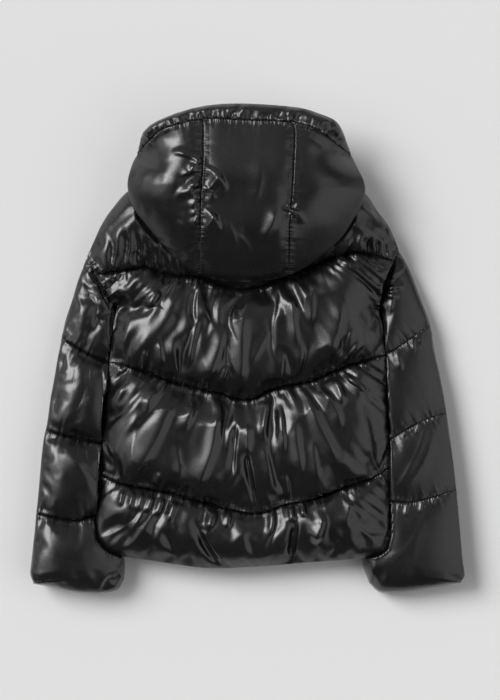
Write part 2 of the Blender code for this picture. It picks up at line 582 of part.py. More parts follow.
def build_hood(material, parent):
    """Centre and side panels, the gathered casing of the mouth, and the walls below the hollow."""
    seam_left, seam_right = hood_seams
    casing = smooth_path(CASING_SEAM)
    gap = SEAM_GAP / 2

    def casing_part(x_from, x_to):
        kept = [point for point in casing if x_from < point[0] < x_to]
        y_from, y_to = np.interp([x_from, x_to], casing[:, 0], casing[:, 1])
        return moved(np.array([(x_from, y_from), *kept, (x_to, y_to)]), dy=-gap)

    def panel(name, top, bottom, left, right, columns, closed_side=None):
        """A panel of the bag. The closed edges of its inner side are one wall thickness in."""
        in_bottom = inset(bottom, HOOD_WALL, HOOD_MIDDLE)
        in_left = between(left, left[0][1], left[-1][1] + HOOD_WALL)
        in_right = between(right, right[0][1], right[-1][1] + HOOD_WALL)
        in_top = top
        if closed_side == "left":
            in_left = inset(left, HOOD_WALL, HOOD_MIDDLE)
            in_top = np.vstack([[in_left[0]], top[top[:, 0] > in_left[0][0] + 1]])
        if closed_side == "right":
            in_right = inset(right, HOOD_WALL, HOOD_MIDDLE)
            in_top = np.vstack([top[top[:, 0] < in_right[0][0] - 1], [in_right[0]]])
        in_bottom = joined(in_bottom, in_left[-1], in_right[-1])
        grid = patch(top, bottom, left, right, columns, HOOD_ROWS)
        inner_grid = patch(in_top, in_bottom, in_left, in_right, columns, HOOD_ROWS)
        far_side = with_height(grid, lambda x, y, column: hood_height(x, y))
        near_side = with_height(inner_grid, lambda x, y, column: hood_height(x, y, HOOD_WALL))
        add_wall(name, near_side, far_side, material, parent, plain=False)

    fold = smooth_path(HOOD_FOLD)
    closed_left = smooth_path(HOOD_SIDE_LEFT)
    closed_right = smooth_path(HOOD_SIDE_RIGHT)
    for name, left, right, columns, closed_side in (
        ("hood_side_left", closed_left, moved(seam_left, dx=-gap), HOOD_SIDE_COLUMNS, "left"),
        ("hood_center", moved(seam_left, dx=gap), moved(seam_right, dx=-gap), HOOD_CENTRE_COLUMNS, None),
        ("hood_side_right", moved(seam_right, dx=gap), closed_right,
         [1 - share for share in HOOD_SIDE_COLUMNS[::-1]], "right"),
    ):
        top = joined(casing_part(left[0][0], right[0][0]), left[0], right[0])
        inner_fold = fold[(fold[:, 0] > left[-1][0]) & (fold[:, 0] < right[-1][0])]
        bottom = np.vstack([[left[-1]], inner_fold, [right[-1]]])
        panel(name, top, bottom, left, right, columns, closed_side)

    def casing_height(x, y, column):
        rounding = quarter_round(distance(hood_top, x, y) / CASING_ROUND)
        crest = CASING_GATHER_RISE * (-1) ** column * rounding
        rolled = hood_height(x, y) - CASING_ROLL * (1 - rounding) + crest
        return max(rolled, casing_floor(x, y, column) + EDGE_WALL)

    def casing_floor(x, y, column):
        return max(hood_height(x, y) - CASING_WALL, hood_foot(y) + SLEEVE_TUCK_GAP)

    lower = moved(casing, dy=CASING_GAP)
    ends = [np.array([hood_top[end], lower[end]]) for end in (0, -1)]
    casing_grid = patch(hood_top, lower, *ends, even(CASING_COLUMNS), CASING_ROWS)
    add_wall("hood_casing", with_height(casing_grid, casing_floor), with_height(casing_grid, casing_height),
             material, parent, plain=False)

    in_left, in_fold, in_right = (
        inset(edge, HOOD_EDGE_INSET, HOOD_MIDDLE) for edge in (closed_left, fold, closed_right)
    )
    low_left = between(in_left, UNDER_NECK[0][1], UNDER_SIDE_END_Y)
    low_right = between(in_right, UNDER_NECK[-1][1], UNDER_SIDE_END_Y)
    low_fold = joined(in_fold[1:-1], low_left[-1], low_right[-1])
    neck = smooth_path(UNDER_NECK)
    under_grid = patch(neck, low_fold, low_left, low_right, even(UNDER_COLUMNS), even(UNDER_ROWS))
    near_side = with_height(under_grid, lambda x, y, column: rest_level(y))
    far_side = with_height(under_grid, lambda x, y, column: rest_level(y) + HOOD_UNDER_WALL)
    add_wall("hood_under", near_side, far_side, material, parent, plain=False)


def build_lower_hood(material, parent):
    """The lower fronts of the hood, which rest on the surface on each side of the zip."""
    for side in ("left", "right"):
        left = side == "left"
        closed = smooth_path(HOOD_SIDE_LEFT if left else HOOD_SIDE_RIGHT)
        lip = smooth_path(LOWER_LIP_LEFT if left else LOWER_LIP_RIGHT[::-1])
        seam = np.array(front_grids(side)[0][0])
        seam = inset(seam[abs(seam[:, 0]) < LOWER_REACH], SEAM_GAP, lip[-1])
        outer = between(inset(closed, HOOD_EDGE_INSET, HOOD_MIDDLE), lip[0][1], seam[0][1])
        outer = joined(outer, outer[0], seam[0])
        centre = np.array([lip[-1], (lip[-1][0], seam[-1][1] + SEAM_GAP)])
        grid = patch(lip, seam, outer, centre, vertex_shares(seam), LOWER_ROWS)

        def top(x, y, column, outer=outer, seam=seam):
            edge = 1 - smooth_step(distance(outer, x, y) / LIFT_WIDTH)
            below_back = MID_HEIGHT - SEAM_GAP + LOWER_RISE * distance(seam, x, y)
            beside_foot = hood_foot(y) - FOOT_CLEARANCE
            return min(LOWER_MIDDLE + (beside_foot - LOWER_MIDDLE) * edge, below_back)

        def bottom(x, y, column, outer=outer, lip=lip):
            to_edge = min(distance(outer, x, y), distance(lip, x, y))
            return LOWER_EDGE_LIFT * (1 - quarter_round(to_edge / UNDER_ROUND))

        near_side = with_height(grid, top)
        far_side = with_height(grid, bottom)
        add_wall(f"hood_lower_{side}", near_side, far_side, material, parent, plain=False)


def add_block(name, size, centre, bevel, material, parent):
    bm = bmesh.new()
    bmesh.ops.create_cube(bm, size=1.0)
    bmesh.ops.scale(bm, vec=size, verts=bm.verts)
    bmesh.ops.bevel(
        bm, geom=bm.edges[:], offset=bevel, segments=2, profile=0.5, affect="EDGES", material=-1
    )
    bmesh.ops.translate(bm, vec=centre, verts=bm.verts)
    return add_object(name, bm, material, parent)


def build_zip(material, parent):
    """The closed zip in the slot between the fronts, and its slider at the top."""
    length = ZIP_END_Y - ZIP_START_Y
    middle_z = ZIP_BOTTOM_Z + ZIP_THICK / 2
    zip_centre = (0, ZIP_START_Y + length / 2, middle_z)
    slider_centre = (0, ZIP_END_Y + SEAM_GAP + SLIDER_LENGTH / 2, middle_z)
    add_block("front_zip", (ZIP_WIDTH, length, ZIP_THICK), zip_centre, ZIP_BEVEL, material, parent)
    slider_size = (ZIP_WIDTH, SLIDER_LENGTH, SLIDER_THICK)
    add_block("zip_slider", slider_size, slider_centre, SLIDER_BEVEL, material, parent)


def build_jacket():
    for old in list(bpy.data.objects):
        bpy.data.objects.remove(old)
    collection = bpy.data.collections.new("puffer_jacket")
    bpy.context.scene.collection.children.link(collection)
    jacket = bpy.data.objects.new("jacket", None)
    collection.objects.link(jacket)
    shell = cloth_material("glossy_shell", SHELL_COLOUR, 0.25)
    zip_tape = cloth_material("zip_tape", ZIP_COLOUR, 0.5)
    build_back(shell, jacket)
    build_fronts(shell, jacket)
    build_sleeve("left", shell, jacket)
    build_sleeve("right", shell, jacket)
    build_hood(shell, jacket)
    build_lower_hood(shell, jacket)
    build_zip(zip_tape, jacket)


build_jacket()
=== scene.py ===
import math
from collections import namedtuple

import bmesh
import bpy
import numpy as np
from mathutils import Matrix, Vector


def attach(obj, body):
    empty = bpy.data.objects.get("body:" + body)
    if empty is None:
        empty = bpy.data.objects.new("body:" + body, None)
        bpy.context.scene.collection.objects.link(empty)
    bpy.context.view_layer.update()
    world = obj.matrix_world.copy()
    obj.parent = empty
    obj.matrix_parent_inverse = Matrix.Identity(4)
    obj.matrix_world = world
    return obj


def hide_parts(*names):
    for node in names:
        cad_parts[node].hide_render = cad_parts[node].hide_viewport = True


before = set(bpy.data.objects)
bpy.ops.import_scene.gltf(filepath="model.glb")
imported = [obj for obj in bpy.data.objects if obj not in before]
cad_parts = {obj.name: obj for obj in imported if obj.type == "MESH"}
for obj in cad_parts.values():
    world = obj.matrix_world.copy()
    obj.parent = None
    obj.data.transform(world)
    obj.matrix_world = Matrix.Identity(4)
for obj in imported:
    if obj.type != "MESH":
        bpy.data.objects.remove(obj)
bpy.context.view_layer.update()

# ------------------------------------------------------------
# Back: yoke, upper, middle and hem baffles of glossy coated nylon over down-like filling.
# Each baffle is cut wider than it is sewn and stitched into the V-shaped seams, so that its
# cloth stands up in sharp creases across the baffle and in small gathers along the stitching.
# ------------------------------------------------------------
MM = 0.001
SEAM_GAP = 0.3
MID_HEIGHT = 46.0
BACK_PUFF = 38.0
EDGE_WALL = 3.0
BACK_SEAM_SHARE = 0.30
ARMHOLE_SHARE = 0.62
EDGE_ROUND = 64.0
SEAM_ROUND = 62.0
BACK_STEP = 3.4
BACK_EASE = {"yoke": 0.06, "upper": 0.09, "middle": 0.09, "hem": 0.04}
BACK_PRESSURE = 5.0
BACK_MOST = 15.0
UNDER_HOOD_TOP = 83.8
HIGHEST_BACK = 96.0
HOOD_MARGIN = 6.0
BACK_NAMES = ("yoke", "upper", "middle", "hem")

SHOULDER_LEFT = [(-281, 164), (-269, 191), (-256, 219), (-239, 245), (-207, 280), (-153, 304), (-92, 324)]
SHOULDER_RIGHT = [(94, 324), (153, 304), (204, 276), (228, 243), (249, 215), (264, 178)]
BACK_NECK = [(-92, 324), (-48, 309), (1, 303), (50, 309), (94, 324)]
ARMHOLE_LEFT = [(-281, 164), (-267, 138), (-249, 107), (-227, 74)]
ARMHOLE_RIGHT = [(264, 178), (256, 156), (248, 140), (237, 112), (230, 66)]
SIDE_LEFT = [(-227, 74), (-235, 40), (-242, -26), (-251, -122), (-258, -220), (-266, -305), (-265, -332)]
SIDE_RIGHT = [(230, 66), (238, 35), (241, -9), (244, -52), (248, -140), (248, -208), (250, -298), (249, -332)]
YOKE_SEAM = [
    (-265, 133), (-246, 135), (-207, 140), (-180, 143), (-141, 131), (-83, 124), (-8, 105),
    (73, 130), (127, 150), (174, 168), (211, 167), (256, 156),
]
UPPER_SEAM = [
    (-242, -23), (-225, -24), (-130, -56), (-57, -74), (-1, -86), (43, -70), (109, -54), (178, -28),
    (241, -9),
]
LOWER_SEAM = [
    (-258, -220), (-204, -238), (-143, -250), (-73, -268), (6, -284), (64, -271), (118, -259),
    (207, -228), (248, -208),
]
HEM = [
    (-265, -332), (-251, -348), (-225, -360), (-169, -369), (-73, -382), (10, -380), (99, -373),
    (207, -364), (239, -353), (249, -332),
]
HOOD_SIDE_LEFT = [(-193, 340), (-201, 324), (-209, 287), (-199, 248), (-174, 214), (-143, 178), (-112, 150)]
HOOD_SIDE_RIGHT = [
    (181, 340), (194, 313), (203, 293), (205, 275), (198, 253), (184, 226), (159, 190), (110, 150),
]
HOOD_FOLD = [(-112, 150), (-83, 132), (-48, 122), (-8, 119), (31, 121), (73, 130), (110, 150)]

# The long low creases of the cloth, and its largest folds: a ridge, or a trough where rise is
# negative, from one end to the other. FOLD_SEEDED of a fold is there before the filling, and
# BACK_RAISED of it is added after.
Wave = namedtuple("Wave", "length rise sway sway_length swell_length shift")
BACK_WAVES = [
    Wave(52, 1.7, 9, 31, 37, 0.4), Wave(34, 1.5, 6, 22, 28, 2.1), Wave(21, 0.9, 4, 17, 19, 4.0),
]
BACK_SPREAD = 180.0
BACK_FAN_X = -10.0
SWELL_SHIFT = 2.3
BACK_TOPS = (210, 115, -60, -262)
BACK_WAVE_SHARES = (1.0, 1.0, 1.0, 0.4)
Fold = namedtuple("Fold", "x0 y0 x1 y1 bend width rise")
FOLD_STEEPNESS = 2.2
FOLD_POWER = 1.7
FOLD_FADE = 0.12
FOLD_TAPER = 0.42
FOLD_SEEDED = 0.45
BACK_FOLD_GAIN = 1.3
BACK_RAISED = 0.5225
FOLD_ONSET = 1.6
BACK_FOLDS = [Fold(*row) for row in (
    (-234, 204, -240, 148, 2, 8, -6), (-212, 210, -218, 146, 3, 9, -7), (-190, 204, -194, 144, 2, 8, -7),
    (-171, 188, -172, 140, 0, 7, -6), (-156, 176, -154, 136, 0, 6, -5), (-143, 170, -140, 132, 0, 5, -5),
    (-130, 162, -126, 129, 0, 5, -5), (-117, 156, -113, 127, 0, 5, -5), (-104, 150, -100, 125, 0, 5, -5),
    (174, 208, 127, 161, 3, 10, 7), (183, 192, 151, 154, 0, 9, 6), (214, 196, 215, 161, 0, 5, -7),
    (228, 192, 231, 160, 0, 5, -6), (240, 190, 244, 160, 0, 5, -6), (196, 200, 200, 165, 0, 8, 4),
    (-204, 116, -219, -14, 3, 24, 6), (-151, 100, -172, 73, 0, 12, 4), (-90, 105, -94, 49, -3, 8, -6),
    (-88, 46, -102, -25, 0, 10, 6), (-153, 14, -148, -25, 0, 9, 4), (-43, 35, -69, -52, 4, 17, 8),
    (-10, 100, -20, 17, -16, 7, -5), (-8, 63, -13, -66, 2, 18, 9), (36, 30, 6, -25, 0, 12, 3),
    (80, 89, 88, 14, -3, 9, 7), (164, 89, 125, -35, 10, 23, 10), (202, 14, 158, -25, 0, 9, 5),
    (183, 35, 170, -4, 0, 8, 4), (-34, -26, -45, -58, 0, 8, 4), (-130, 10, -122, -48, 0, 12, 4),
    (50, 96, 42, -10, -4, 14, -4), (112, 110, 108, 40, 3, 12, 4), (-60, 96, -72, 50, 0, 14, 3),
    (62, -8, 58, -58, 0, 9, 4), (96, 0, 84, -50, 0, 9, 4), (-176, 0, -184, -34, 0, 9, 4),
    (-216, -58, -237, -112, 0, 24, 6), (-136, -101, -195, -210, 6, 21, 9),
    (-50, -84, -88, -241, 10, 16, 10), (1, -133, -4, -187, 2, 11, 8), (41, -84, 29, -154, -4, 9, 7),
    (59, -100, 64, -177, 0, 9, 7), (83, -128, 94, -213, 0, 13, 7), (99, -89, 158, -208, 6, 21, 8),
    (125, -68, 164, -133, 7, 12, 8), (150, -49, 167, -95, 3, 9, 6), (171, -46, 207, -79, 4, 9, 6),
    (-4, -154, 17, -275, -3, 8, -7), (-20, -131, -27, -210, 0, 8, -5), (27, -168, 43, -240, 2, 12, 5),
    (113, -158, 123, -224, 0, 11, 4), (-125, -158, -115, -220, 0, 14, -4),
    (-160, -70, -176, -100, 0, 9, 4), (-94, -90, -108, -140, 0, 12, 5), (196, -110, 214, -190, 4, 20, 3),
    (-150, -215, -160, -238, 0, 9, 4), (66, -215, 72, -258, 0, 9, 4), (-217, -245, -222, -272, 0, 6, 4),
    (-198, -248, -205, -276, 0, 6, 4), (-182, -250, -190, -280, 0, 6, 4),
    (-165, -255, -174, -284, 0, 7, 5), (-146, -260, -157, -290, 0, 8, 5),
    (-125, -266, -136, -300, 0, 8, 5), (-59, -278, -69, -313, 4, 13, 8), (-30, -284, -34, -310, 0, 9, 4),
    (43, -280, 39, -322, 3, 9, 7), (76, -272, 80, -300, 0, 8, 5), (97, -268, 99, -291, 0, 7, 5),
    (132, -288, 116, -336, 4, 15, 9), (-83, -318, -45, -378, -3, 9, -9), (85, -300, 76, -378, 0, 9, -9),
    (-188, -310, -135, -362, 4, 22, 2), (-10, -310, 2, -366, 0, 16, 2), (180, -262, 172, -310, 0, 14, 3),
    (160, -330, 150, -366, 0, 12, -3),
)]


def smooth_path(points, steps=8):
    """A Catmull-Rom curve through the points, as an array of close points."""
    known = np.array(points, float)
    ends = np.vstack([2 * known[0] - known[1], known, 2 * known[-1] - known[-2]])
    path = []
    for before, start, end, after in zip(ends, ends[1:], ends[2:], ends[3:]):
        for t in np.arange(steps) / steps:
            path.append(
                0.5 * (2 * start + (end - before) * t + (2 * before - 5 * start + 4 * end - after) * t**2
                       + (3 * start - before - 3 * end + after) * t**3)
            )
    return np.array([*path, known[-1]])


def run_lengths(path):
    """The length along a path up to each of its points."""
    return np.concatenate([[0.0], np.cumsum(np.linalg.norm(np.diff(path, axis=0), axis=1))])


def at_share(path, shares):
    """The points at those shares of the path's length."""
    lengths = run_lengths(path)
    return np.stack([np.interp(shares, lengths / lengths[-1], path[:, axis]) for axis in (0, 1)], axis=1)


def between(path, high, low):
    """The stretch of a downward path from the height high to the height low."""
    high_x, low_x = np.interp([-high, -low], -path[:, 1], path[:, 0])
    kept = path[(path[:, 1] < high) & (path[:, 1] > low)]
    return np.vstack([[(high_x, high)], kept, [(low_x, low)]])


def moved(path, dx=0.0, dy=0.0):
    return path + np.array([dx, dy])


def joined(path, start, end):
    """The path with other end points."""
    return np.vstack([[start], path[1:-1], [end]])


def inset(path, depth, inner_point):
    """The path moved sideways by depth, towards the side on which inner_point lies."""
    tangent = np.gradient(path, axis=0)
    normal = np.stack([-tangent[:, 1], tangent[:, 0]], axis=1)
    normal /= np.linalg.norm(normal, axis=1)[:, None]
    middle = len(path) // 2
    side = np.sign(np.dot(np.array(inner_point) - path[middle], normal[middle]))
    return path + side * depth * normal


def nearest(path, xy):
    """The distance from each point to a path, and the length along the path at its nearest point."""
    start = path[:-1]
    run = path[1:] - start
    length = np.linalg.norm(run, axis=1)
    best = np.full(len(xy), 1e9)
    along = np.zeros(len(xy))
    for first, step, size, done in zip(start, run, length, run_lengths(path)):
        share = np.clip(((xy - first) @ step) / size**2, 0, 1)
        apart = np.linalg.norm(xy - first - share[:, None] * step, axis=1)
        closer = apart < best
        best[closer] = apart[closer]
        along[closer] = done + share[closer] * size
    return best, along


def distance(paths, xy):
    """The distance from each point to the nearest of several paths."""
    return np.min([nearest(path, xy)[0] for path in paths], axis=0)


def inside(path, xy):
    """Whether each point lies within a path whose ends are joined."""
    found = np.zeros(len(xy), bool)
    for (x0, y0), (x1, y1) in zip(path, np.roll(path, -1, axis=0)):
        crosses = (y0 > xy[:, 1]) != (y1 > xy[:, 1])
        found ^= crosses & (xy[:, 0] < x0 + (xy[:, 1] - y0) * (x1 - x0) / (y1 - y0 + 1e-12))
    return found


def quarter_round(share):
    return np.sqrt(1 - (1 - np.clip(share, 0, 1)) ** 2)


def arch(share):
    """Rises from 0 to 1 like a pillow: already on a slope at its edge, and level at its top."""
    return np.sin(math.pi / 2 * np.clip(share, 0, 1))


def smooth_step(value):
    value = np.clip(value, 0, 1)
    return value * value * (3 - 2 * value)


def fold_rise(folds, xy):
    """Sum of the folds: steep on one side, gentle on the other, and fading out at both ends."""
    total = np.zeros(len(xy))
    for fold in folds:
        start, end = np.array([fold.x0, fold.y0], float), np.array([fold.x1, fold.y1], float)
        length = np.linalg.norm(end - start)
        along = (xy - start) @ (end - start) / length**2
        bent = fold.bend * np.sin(math.pi * np.clip(along, 0, 1))
        across = np.cross(end - start, xy - start) / length - bent
        across = np.where(across > 0, across * FOLD_STEEPNESS, -across) / fold.width
        taper = smooth_step((along + FOLD_FADE) / FOLD_TAPER)
        taper *= smooth_step((1 + FOLD_FADE - along) / FOLD_TAPER)
        total += fold.rise * np.exp(-across**FOLD_POWER) * taper
    return total


def creased(xy, top_y, middle_x, spread, waves):
    """Long low creases across a baffle, fanning out below its upper seam at about top_y."""
    fan = (xy[:, 0] - middle_x) / (1 + (top_y - xy[:, 1]) / spread)
    total = np.zeros(len(xy))
    for wave in waves:
        bend = wave.sway * np.sin(xy[:, 1] / wave.sway_length + wave.shift)
        swell = 0.5 + 0.5 * np.sin(fan / wave.swell_length + SWELL_SHIFT * wave.shift)
        total += wave.rise * swell * np.sin(2 * math.pi * (fan + bend) / wave.length + wave.shift)
    return total


def puffed(xy, edges, seams, seam_share):
    """The share of the full padding: rounded off at edges, drawn in at seams."""
    share = arch(distance(edges, xy) / EDGE_ROUND) if edges else np.ones(len(xy))
    for seam in seams:
        share *= seam_share + (1 - seam_share) * quarter_round(distance([seam], xy) / SEAM_ROUND)
    return share


def patch(top, bottom, left, right, step, counts=None):
    """Rows of points (x, y) that fill the space between four paths, about step apart or as counts says."""
    if counts is None:
        counts = [int(max(run_lengths(one)[-1], run_lengths(other)[-1]) / step) + 2
                  for one, other in ((top, bottom), (left, right))]
    u = np.linspace(0, 1, counts[0])
    v = np.linspace(0, 1, counts[1])
    one, other = at_share(left, v), at_share(right, v)
    u_column, v_row = u[None, :, None], v[:, None, None]
    side_one = one - (1 - v[:, None]) * one[0] - v[:, None] * one[-1]
    side_other = other - (1 - v[:, None]) * other[0] - v[:, None] * other[-1]
    return ((1 - v_row) * at_share(top, u)[None] + v_row * at_share(bottom, u)[None]
            + (1 - u_column) * side_one[:, None] + u_column * side_other[:, None])


def stacked(first, seams, last, left, right, step):
    """The grids of the panels that the seams divide, each half a seam gap from its neighbour."""
    lines = [first, *seams, last]
    grids = []
    for number, (top, bottom) in enumerate(zip(lines, lines[1:])):
        upper = moved(top, dy=-SEAM_GAP / 2) if number else top
        lower = moved(bottom, dy=SEAM_GAP / 2) if number < len(seams) else bottom
        one_left = between(left, top[0][1], bottom[0][1])
        one_right = between(right, top[-1][1], bottom[-1][1])
        grids.append(patch(upper, lower, one_left, one_right, step))
    return grids


def with_height(grid, height):
    """The grid with the heights that height(points) gives."""
    flat = grid.reshape(-1, 2)
    return np.column_stack([flat, height(flat)]).reshape(*grid.shape[:2], 3)


def panel_mesh(name, outer, inner, flat_inner):
    """A closed mesh between two grids of points in millimetres. The outer grid's points come first."""
    rows, columns = outer.shape[:2]
    cells = list(np.ndindex(rows, columns))
    squares = [((row, column), (row, column + 1), (row + 1, column + 1), (row + 1, column))
               for row, column in np.ndindex(rows - 1, columns - 1)]
    rim = [(0, column) for column in range(columns - 1)]
    rim += [(row, columns - 1) for row in range(rows - 1)]
    rim += [(rows - 1, column) for column in range(columns - 1, 0, -1)]
    rim += [(row, 0) for row in range(rows - 1, 0, -1)]
    # Every face is added in a fixed order, because the filling's result follows that order.
    bm = bmesh.new()
    high = {cell: bm.verts.new(Vector(outer[cell]) * MM) for cell in cells}
    low = {cell: bm.verts.new(Vector(inner[cell]) * MM) for cell in (rim if flat_inner else cells)}
    for square in squares:
        bm.faces.new([high[cell] for cell in square])
    for cell, following in zip(rim, rim[1:] + rim[:1]):
        bm.faces.new((high[following], high[cell], low[cell], low[following]))
    for ring in [rim] if flat_inner else squares:
        bm.faces.new([low[cell] for cell in reversed(ring)]).material_index = 1
    bmesh.ops.recalc_face_normals(bm, faces=bm.faces)
    mesh = bpy.data.meshes.new(name)
    bm.to_mesh(mesh)
    bm.free()
    return mesh


# A panel that waits for its filling: its grids, how far a point may move, the heights it stays
# between, the seams that its puckers follow, the folds that stay in its cloth, the share of them
# that is added after the filling, and how strong its gathers are.
Panel = namedtuple("Panel", "piece outer inner flat_inner most floor ceiling seams creases raised gathers")
panels = []


def padded_panel(name, outer, inner, most, seams, flat_inner=True, floor=None, ceiling=None,
                 creases=None, raised=0.0, gathers=1.0):
    """A padded piece from the grids of its outer and its inner side. It rides on the root body."""
    mesh = panel_mesh(name, outer, inner, flat_inner)
    piece = bpy.data.objects.new(name, mesh)
    bpy.context.scene.collection.objects.link(piece)
    rows, columns = outer.shape[:2]
    sewn = np.ones(len(mesh.vertices), bool)
    sewn[: rows * columns].reshape(rows, columns)[1:-1, 1:-1] = False
    group = piece.vertex_groups.new(name="sewn")
    group.add(np.nonzero(sewn)[0].tolist(), 1.0, "REPLACE")
    panels.append(
        Panel(piece, outer, inner, flat_inner, most, floor, ceiling, seams, creases, raised, gathers)
    )
    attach(piece, "root")
    return piece


def press_out(piece, ease, pressure):
    """Cuts the piece's cloth larger by ease, to be pressed out by its filling."""
    cloth = piece.modifiers.new("filling", "CLOTH")
    cloth.settings.quality = 3
    cloth.settings.mass = 0.1
    cloth.settings.tension_stiffness = 15
    cloth.settings.compression_stiffness = 15
    cloth.settings.shear_stiffness = 5
    cloth.settings.bending_stiffness = 0.2
    cloth.settings.shrink_min = -ease
    cloth.settings.use_pressure = True
    cloth.settings.uniform_pressure_force = pressure
    cloth.settings.vertex_group_mass = "sewn"
    cloth.settings.effector_weights.gravity = 0
    cloth.collision_settings.use_collision = False


shoulder_left = smooth_path(SHOULDER_LEFT)
shoulder_right = smooth_path(SHOULDER_RIGHT)
shoulders = np.vstack([shoulder_left[:-1], smooth_path(BACK_NECK)[:-1], shoulder_right])
armhole_left = smooth_path(ARMHOLE_LEFT)
armhole_right = smooth_path(ARMHOLE_RIGHT)
side_left = smooth_path(SIDE_LEFT)
side_right = smooth_path(SIDE_RIGHT)
body_left = np.vstack([armhole_left[:-1], side_left])
body_right = np.vstack([armhole_right[:-1], side_right])
hem = smooth_path(HEM)
back_seams = [smooth_path(YOKE_SEAM), smooth_path(UPPER_SEAM), smooth_path(LOWER_SEAM)]
body_outline = np.vstack([shoulders[:-1], body_right[:-1], hem[::-1][:-1], body_left[::-1]])
hood_closed = np.vstack([
    smooth_path(HOOD_SIDE_LEFT)[:-1], smooth_path(HOOD_FOLD)[:-1], smooth_path(HOOD_SIDE_RIGHT)[::-1],
])


def back_share(xy):
    share = puffed(xy, [side_left, side_right, shoulders, hem], back_seams, BACK_SEAM_SHARE)
    return share * puffed(xy, [], [armhole_left, armhole_right], ARMHOLE_SHARE)


def beside_hood(xy):
    """How far each point is outside the hood's outline, and 0 within it."""
    return np.where(inside(hood_closed, xy), 0.0, distance([hood_closed], xy))


def back_creases(xy, top_y, wave_share):
    """The folds and the long creases of the back's cloth, none of them under the hood."""
    detail = BACK_FOLD_GAIN * fold_rise(BACK_FOLDS, xy)
    detail += wave_share * creased(xy, top_y, BACK_FAN_X, BACK_SPREAD, BACK_WAVES)
    return detail * smooth_step(beside_hood(xy) / HOOD_MARGIN) * np.minimum(1, FOLD_ONSET * back_share(xy))


def back_level(xy):
    """Height of the back before any crease."""
    return MID_HEIGHT + SEAM_GAP / 2 + EDGE_WALL + (BACK_PUFF - EDGE_WALL) * back_share(xy)


def back_ceiling(xy):
    """Highest that the back reaches: below the hood where it lies on the yoke."""
    return np.minimum(HIGHEST_BACK, UNDER_HOOD_TOP + beside_hood(xy))


back_grids = stacked(shoulders, back_seams, hem, body_left, body_right, BACK_STEP)
for name, top_y, wave_share, grid in zip(BACK_NAMES, BACK_TOPS, BACK_WAVE_SHARES, back_grids):
    lining = with_height(grid, lambda xy: np.full(len(xy), MID_HEIGHT + SEAM_GAP / 2))
    outer = with_height(grid, lambda xy: back_level(xy) + FOLD_SEEDED * back_creases(xy, top_y, wave_share))
    baffle = padded_panel(
        f"back_{name}_baffle", outer, lining, BACK_MOST, [*back_seams, armhole_left, armhole_right],
        ceiling=back_ceiling, raised=BACK_RAISED,
        creases=lambda xy, top=top_y, share=wave_share: back_creases(xy, top, share),
    )
    press_out(baffle, BACK_EASE[name], BACK_PRESSURE)
    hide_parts(f"back_{name}")

# ------------------------------------------------------------
# Fronts: the same four baffles on each side of the zip, of the same nylon and filling.
# The jacket lies on them, so their outer side is pressed flat on the surface, and they are
# raised along the body's side, where they lie on the sleeve.
# ------------------------------------------------------------
UNDER_ROUND = 30.0
SIDE_ROUND = 14.0
SLEEVE_LIFT = 24.0
LIFT_WIDTH = 55.0
LIFT_END = 95.0
ZIP_SLOT = 4.5
FRONT_SEAM_DROP = 12.0
FRONT_STEP = 7.0
FRONT_DEEP = MID_HEIGHT - SEAM_GAP / 2 - EDGE_WALL
FRONT_QUILT_DEPTH = 7.0
FRONT_QUILT_REACH = 22.0
FRONT_MOST = 9.0

FRONT_NECK_LEFT = [(-92, 324), (-62, 288), (-4.5, 262)]
FRONT_NECK_RIGHT = [(4.5, 262), (62, 288), (94, 324)]


def surface(xy):
    return np.zeros(len(xy))


def under_level(xy):
    """Height of a front's outer side before quilting: 0 where it rests, raised over the sleeve."""
    to_side = distance([side_left, side_right], xy)
    lift = SLEEVE_LIFT * (1 - smooth_step((to_side - LIFT_WIDTH) / (LIFT_END - LIFT_WIDTH)))
    rounded = lift + (FRONT_DEEP - lift) * (1 - quarter_round(to_side / SIDE_ROUND))
    to_edge = distance([hem, shoulder_left, shoulder_right], xy)
    return np.maximum(rounded, FRONT_DEEP * (1 - quarter_round(to_edge / UNDER_ROUND)))


def front_under(xy, seams):
    """Height of a front's outer side, drawn in at its seams."""
    quilt = FRONT_QUILT_DEPTH * np.exp(-distance(seams, xy) / FRONT_QUILT_REACH)
    return np.minimum(FRONT_DEEP, under_level(xy) + quilt)


def front_grids(side, step):
    """Four grids from the side edge to the zip, their seams level with the ends of the back's."""
    left = side == "left"
    centre_x = -ZIP_SLOT if left else ZIP_SLOT
    if left:
        top = np.vstack([shoulder_left[:-1], smooth_path(FRONT_NECK_LEFT)])
    else:
        top = np.vstack([smooth_path(FRONT_NECK_RIGHT)[:-1], shoulder_right])[::-1]
    end = 0 if left else -1
    seams = [np.array([seam[end], (centre_x, seam[end][1] - FRONT_SEAM_DROP)]) for seam in back_seams]
    ordered_hem = hem if left else hem[::-1]
    half_hem = ordered_hem[ordered_hem[:, 0] / centre_x > 1]
    bottom = np.vstack([half_hem, [(centre_x, half_hem[-1][1])]])
    centre = np.array([(centre_x, top[-1][1]), (centre_x, bottom[-1][1])], float)
    edge = body_left if left else body_right
    return stacked(top, seams, bottom, edge, centre, step), seams


for side in ("left", "right"):
    grids, front_seams = front_grids(side, FRONT_STEP)
    for name, grid in zip(BACK_NAMES, grids):
        lining = with_height(grid, lambda xy: np.full(len(xy), MID_HEIGHT - SEAM_GAP / 2))
        outer = with_height(grid, lambda xy: front_under(xy, front_seams))
        baffle = padded_panel(f"front_{side}_{name}_baffle", outer, lining, FRONT_MOST, front_seams,
                              floor=surface)
        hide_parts(f"front_{side}_{name}")

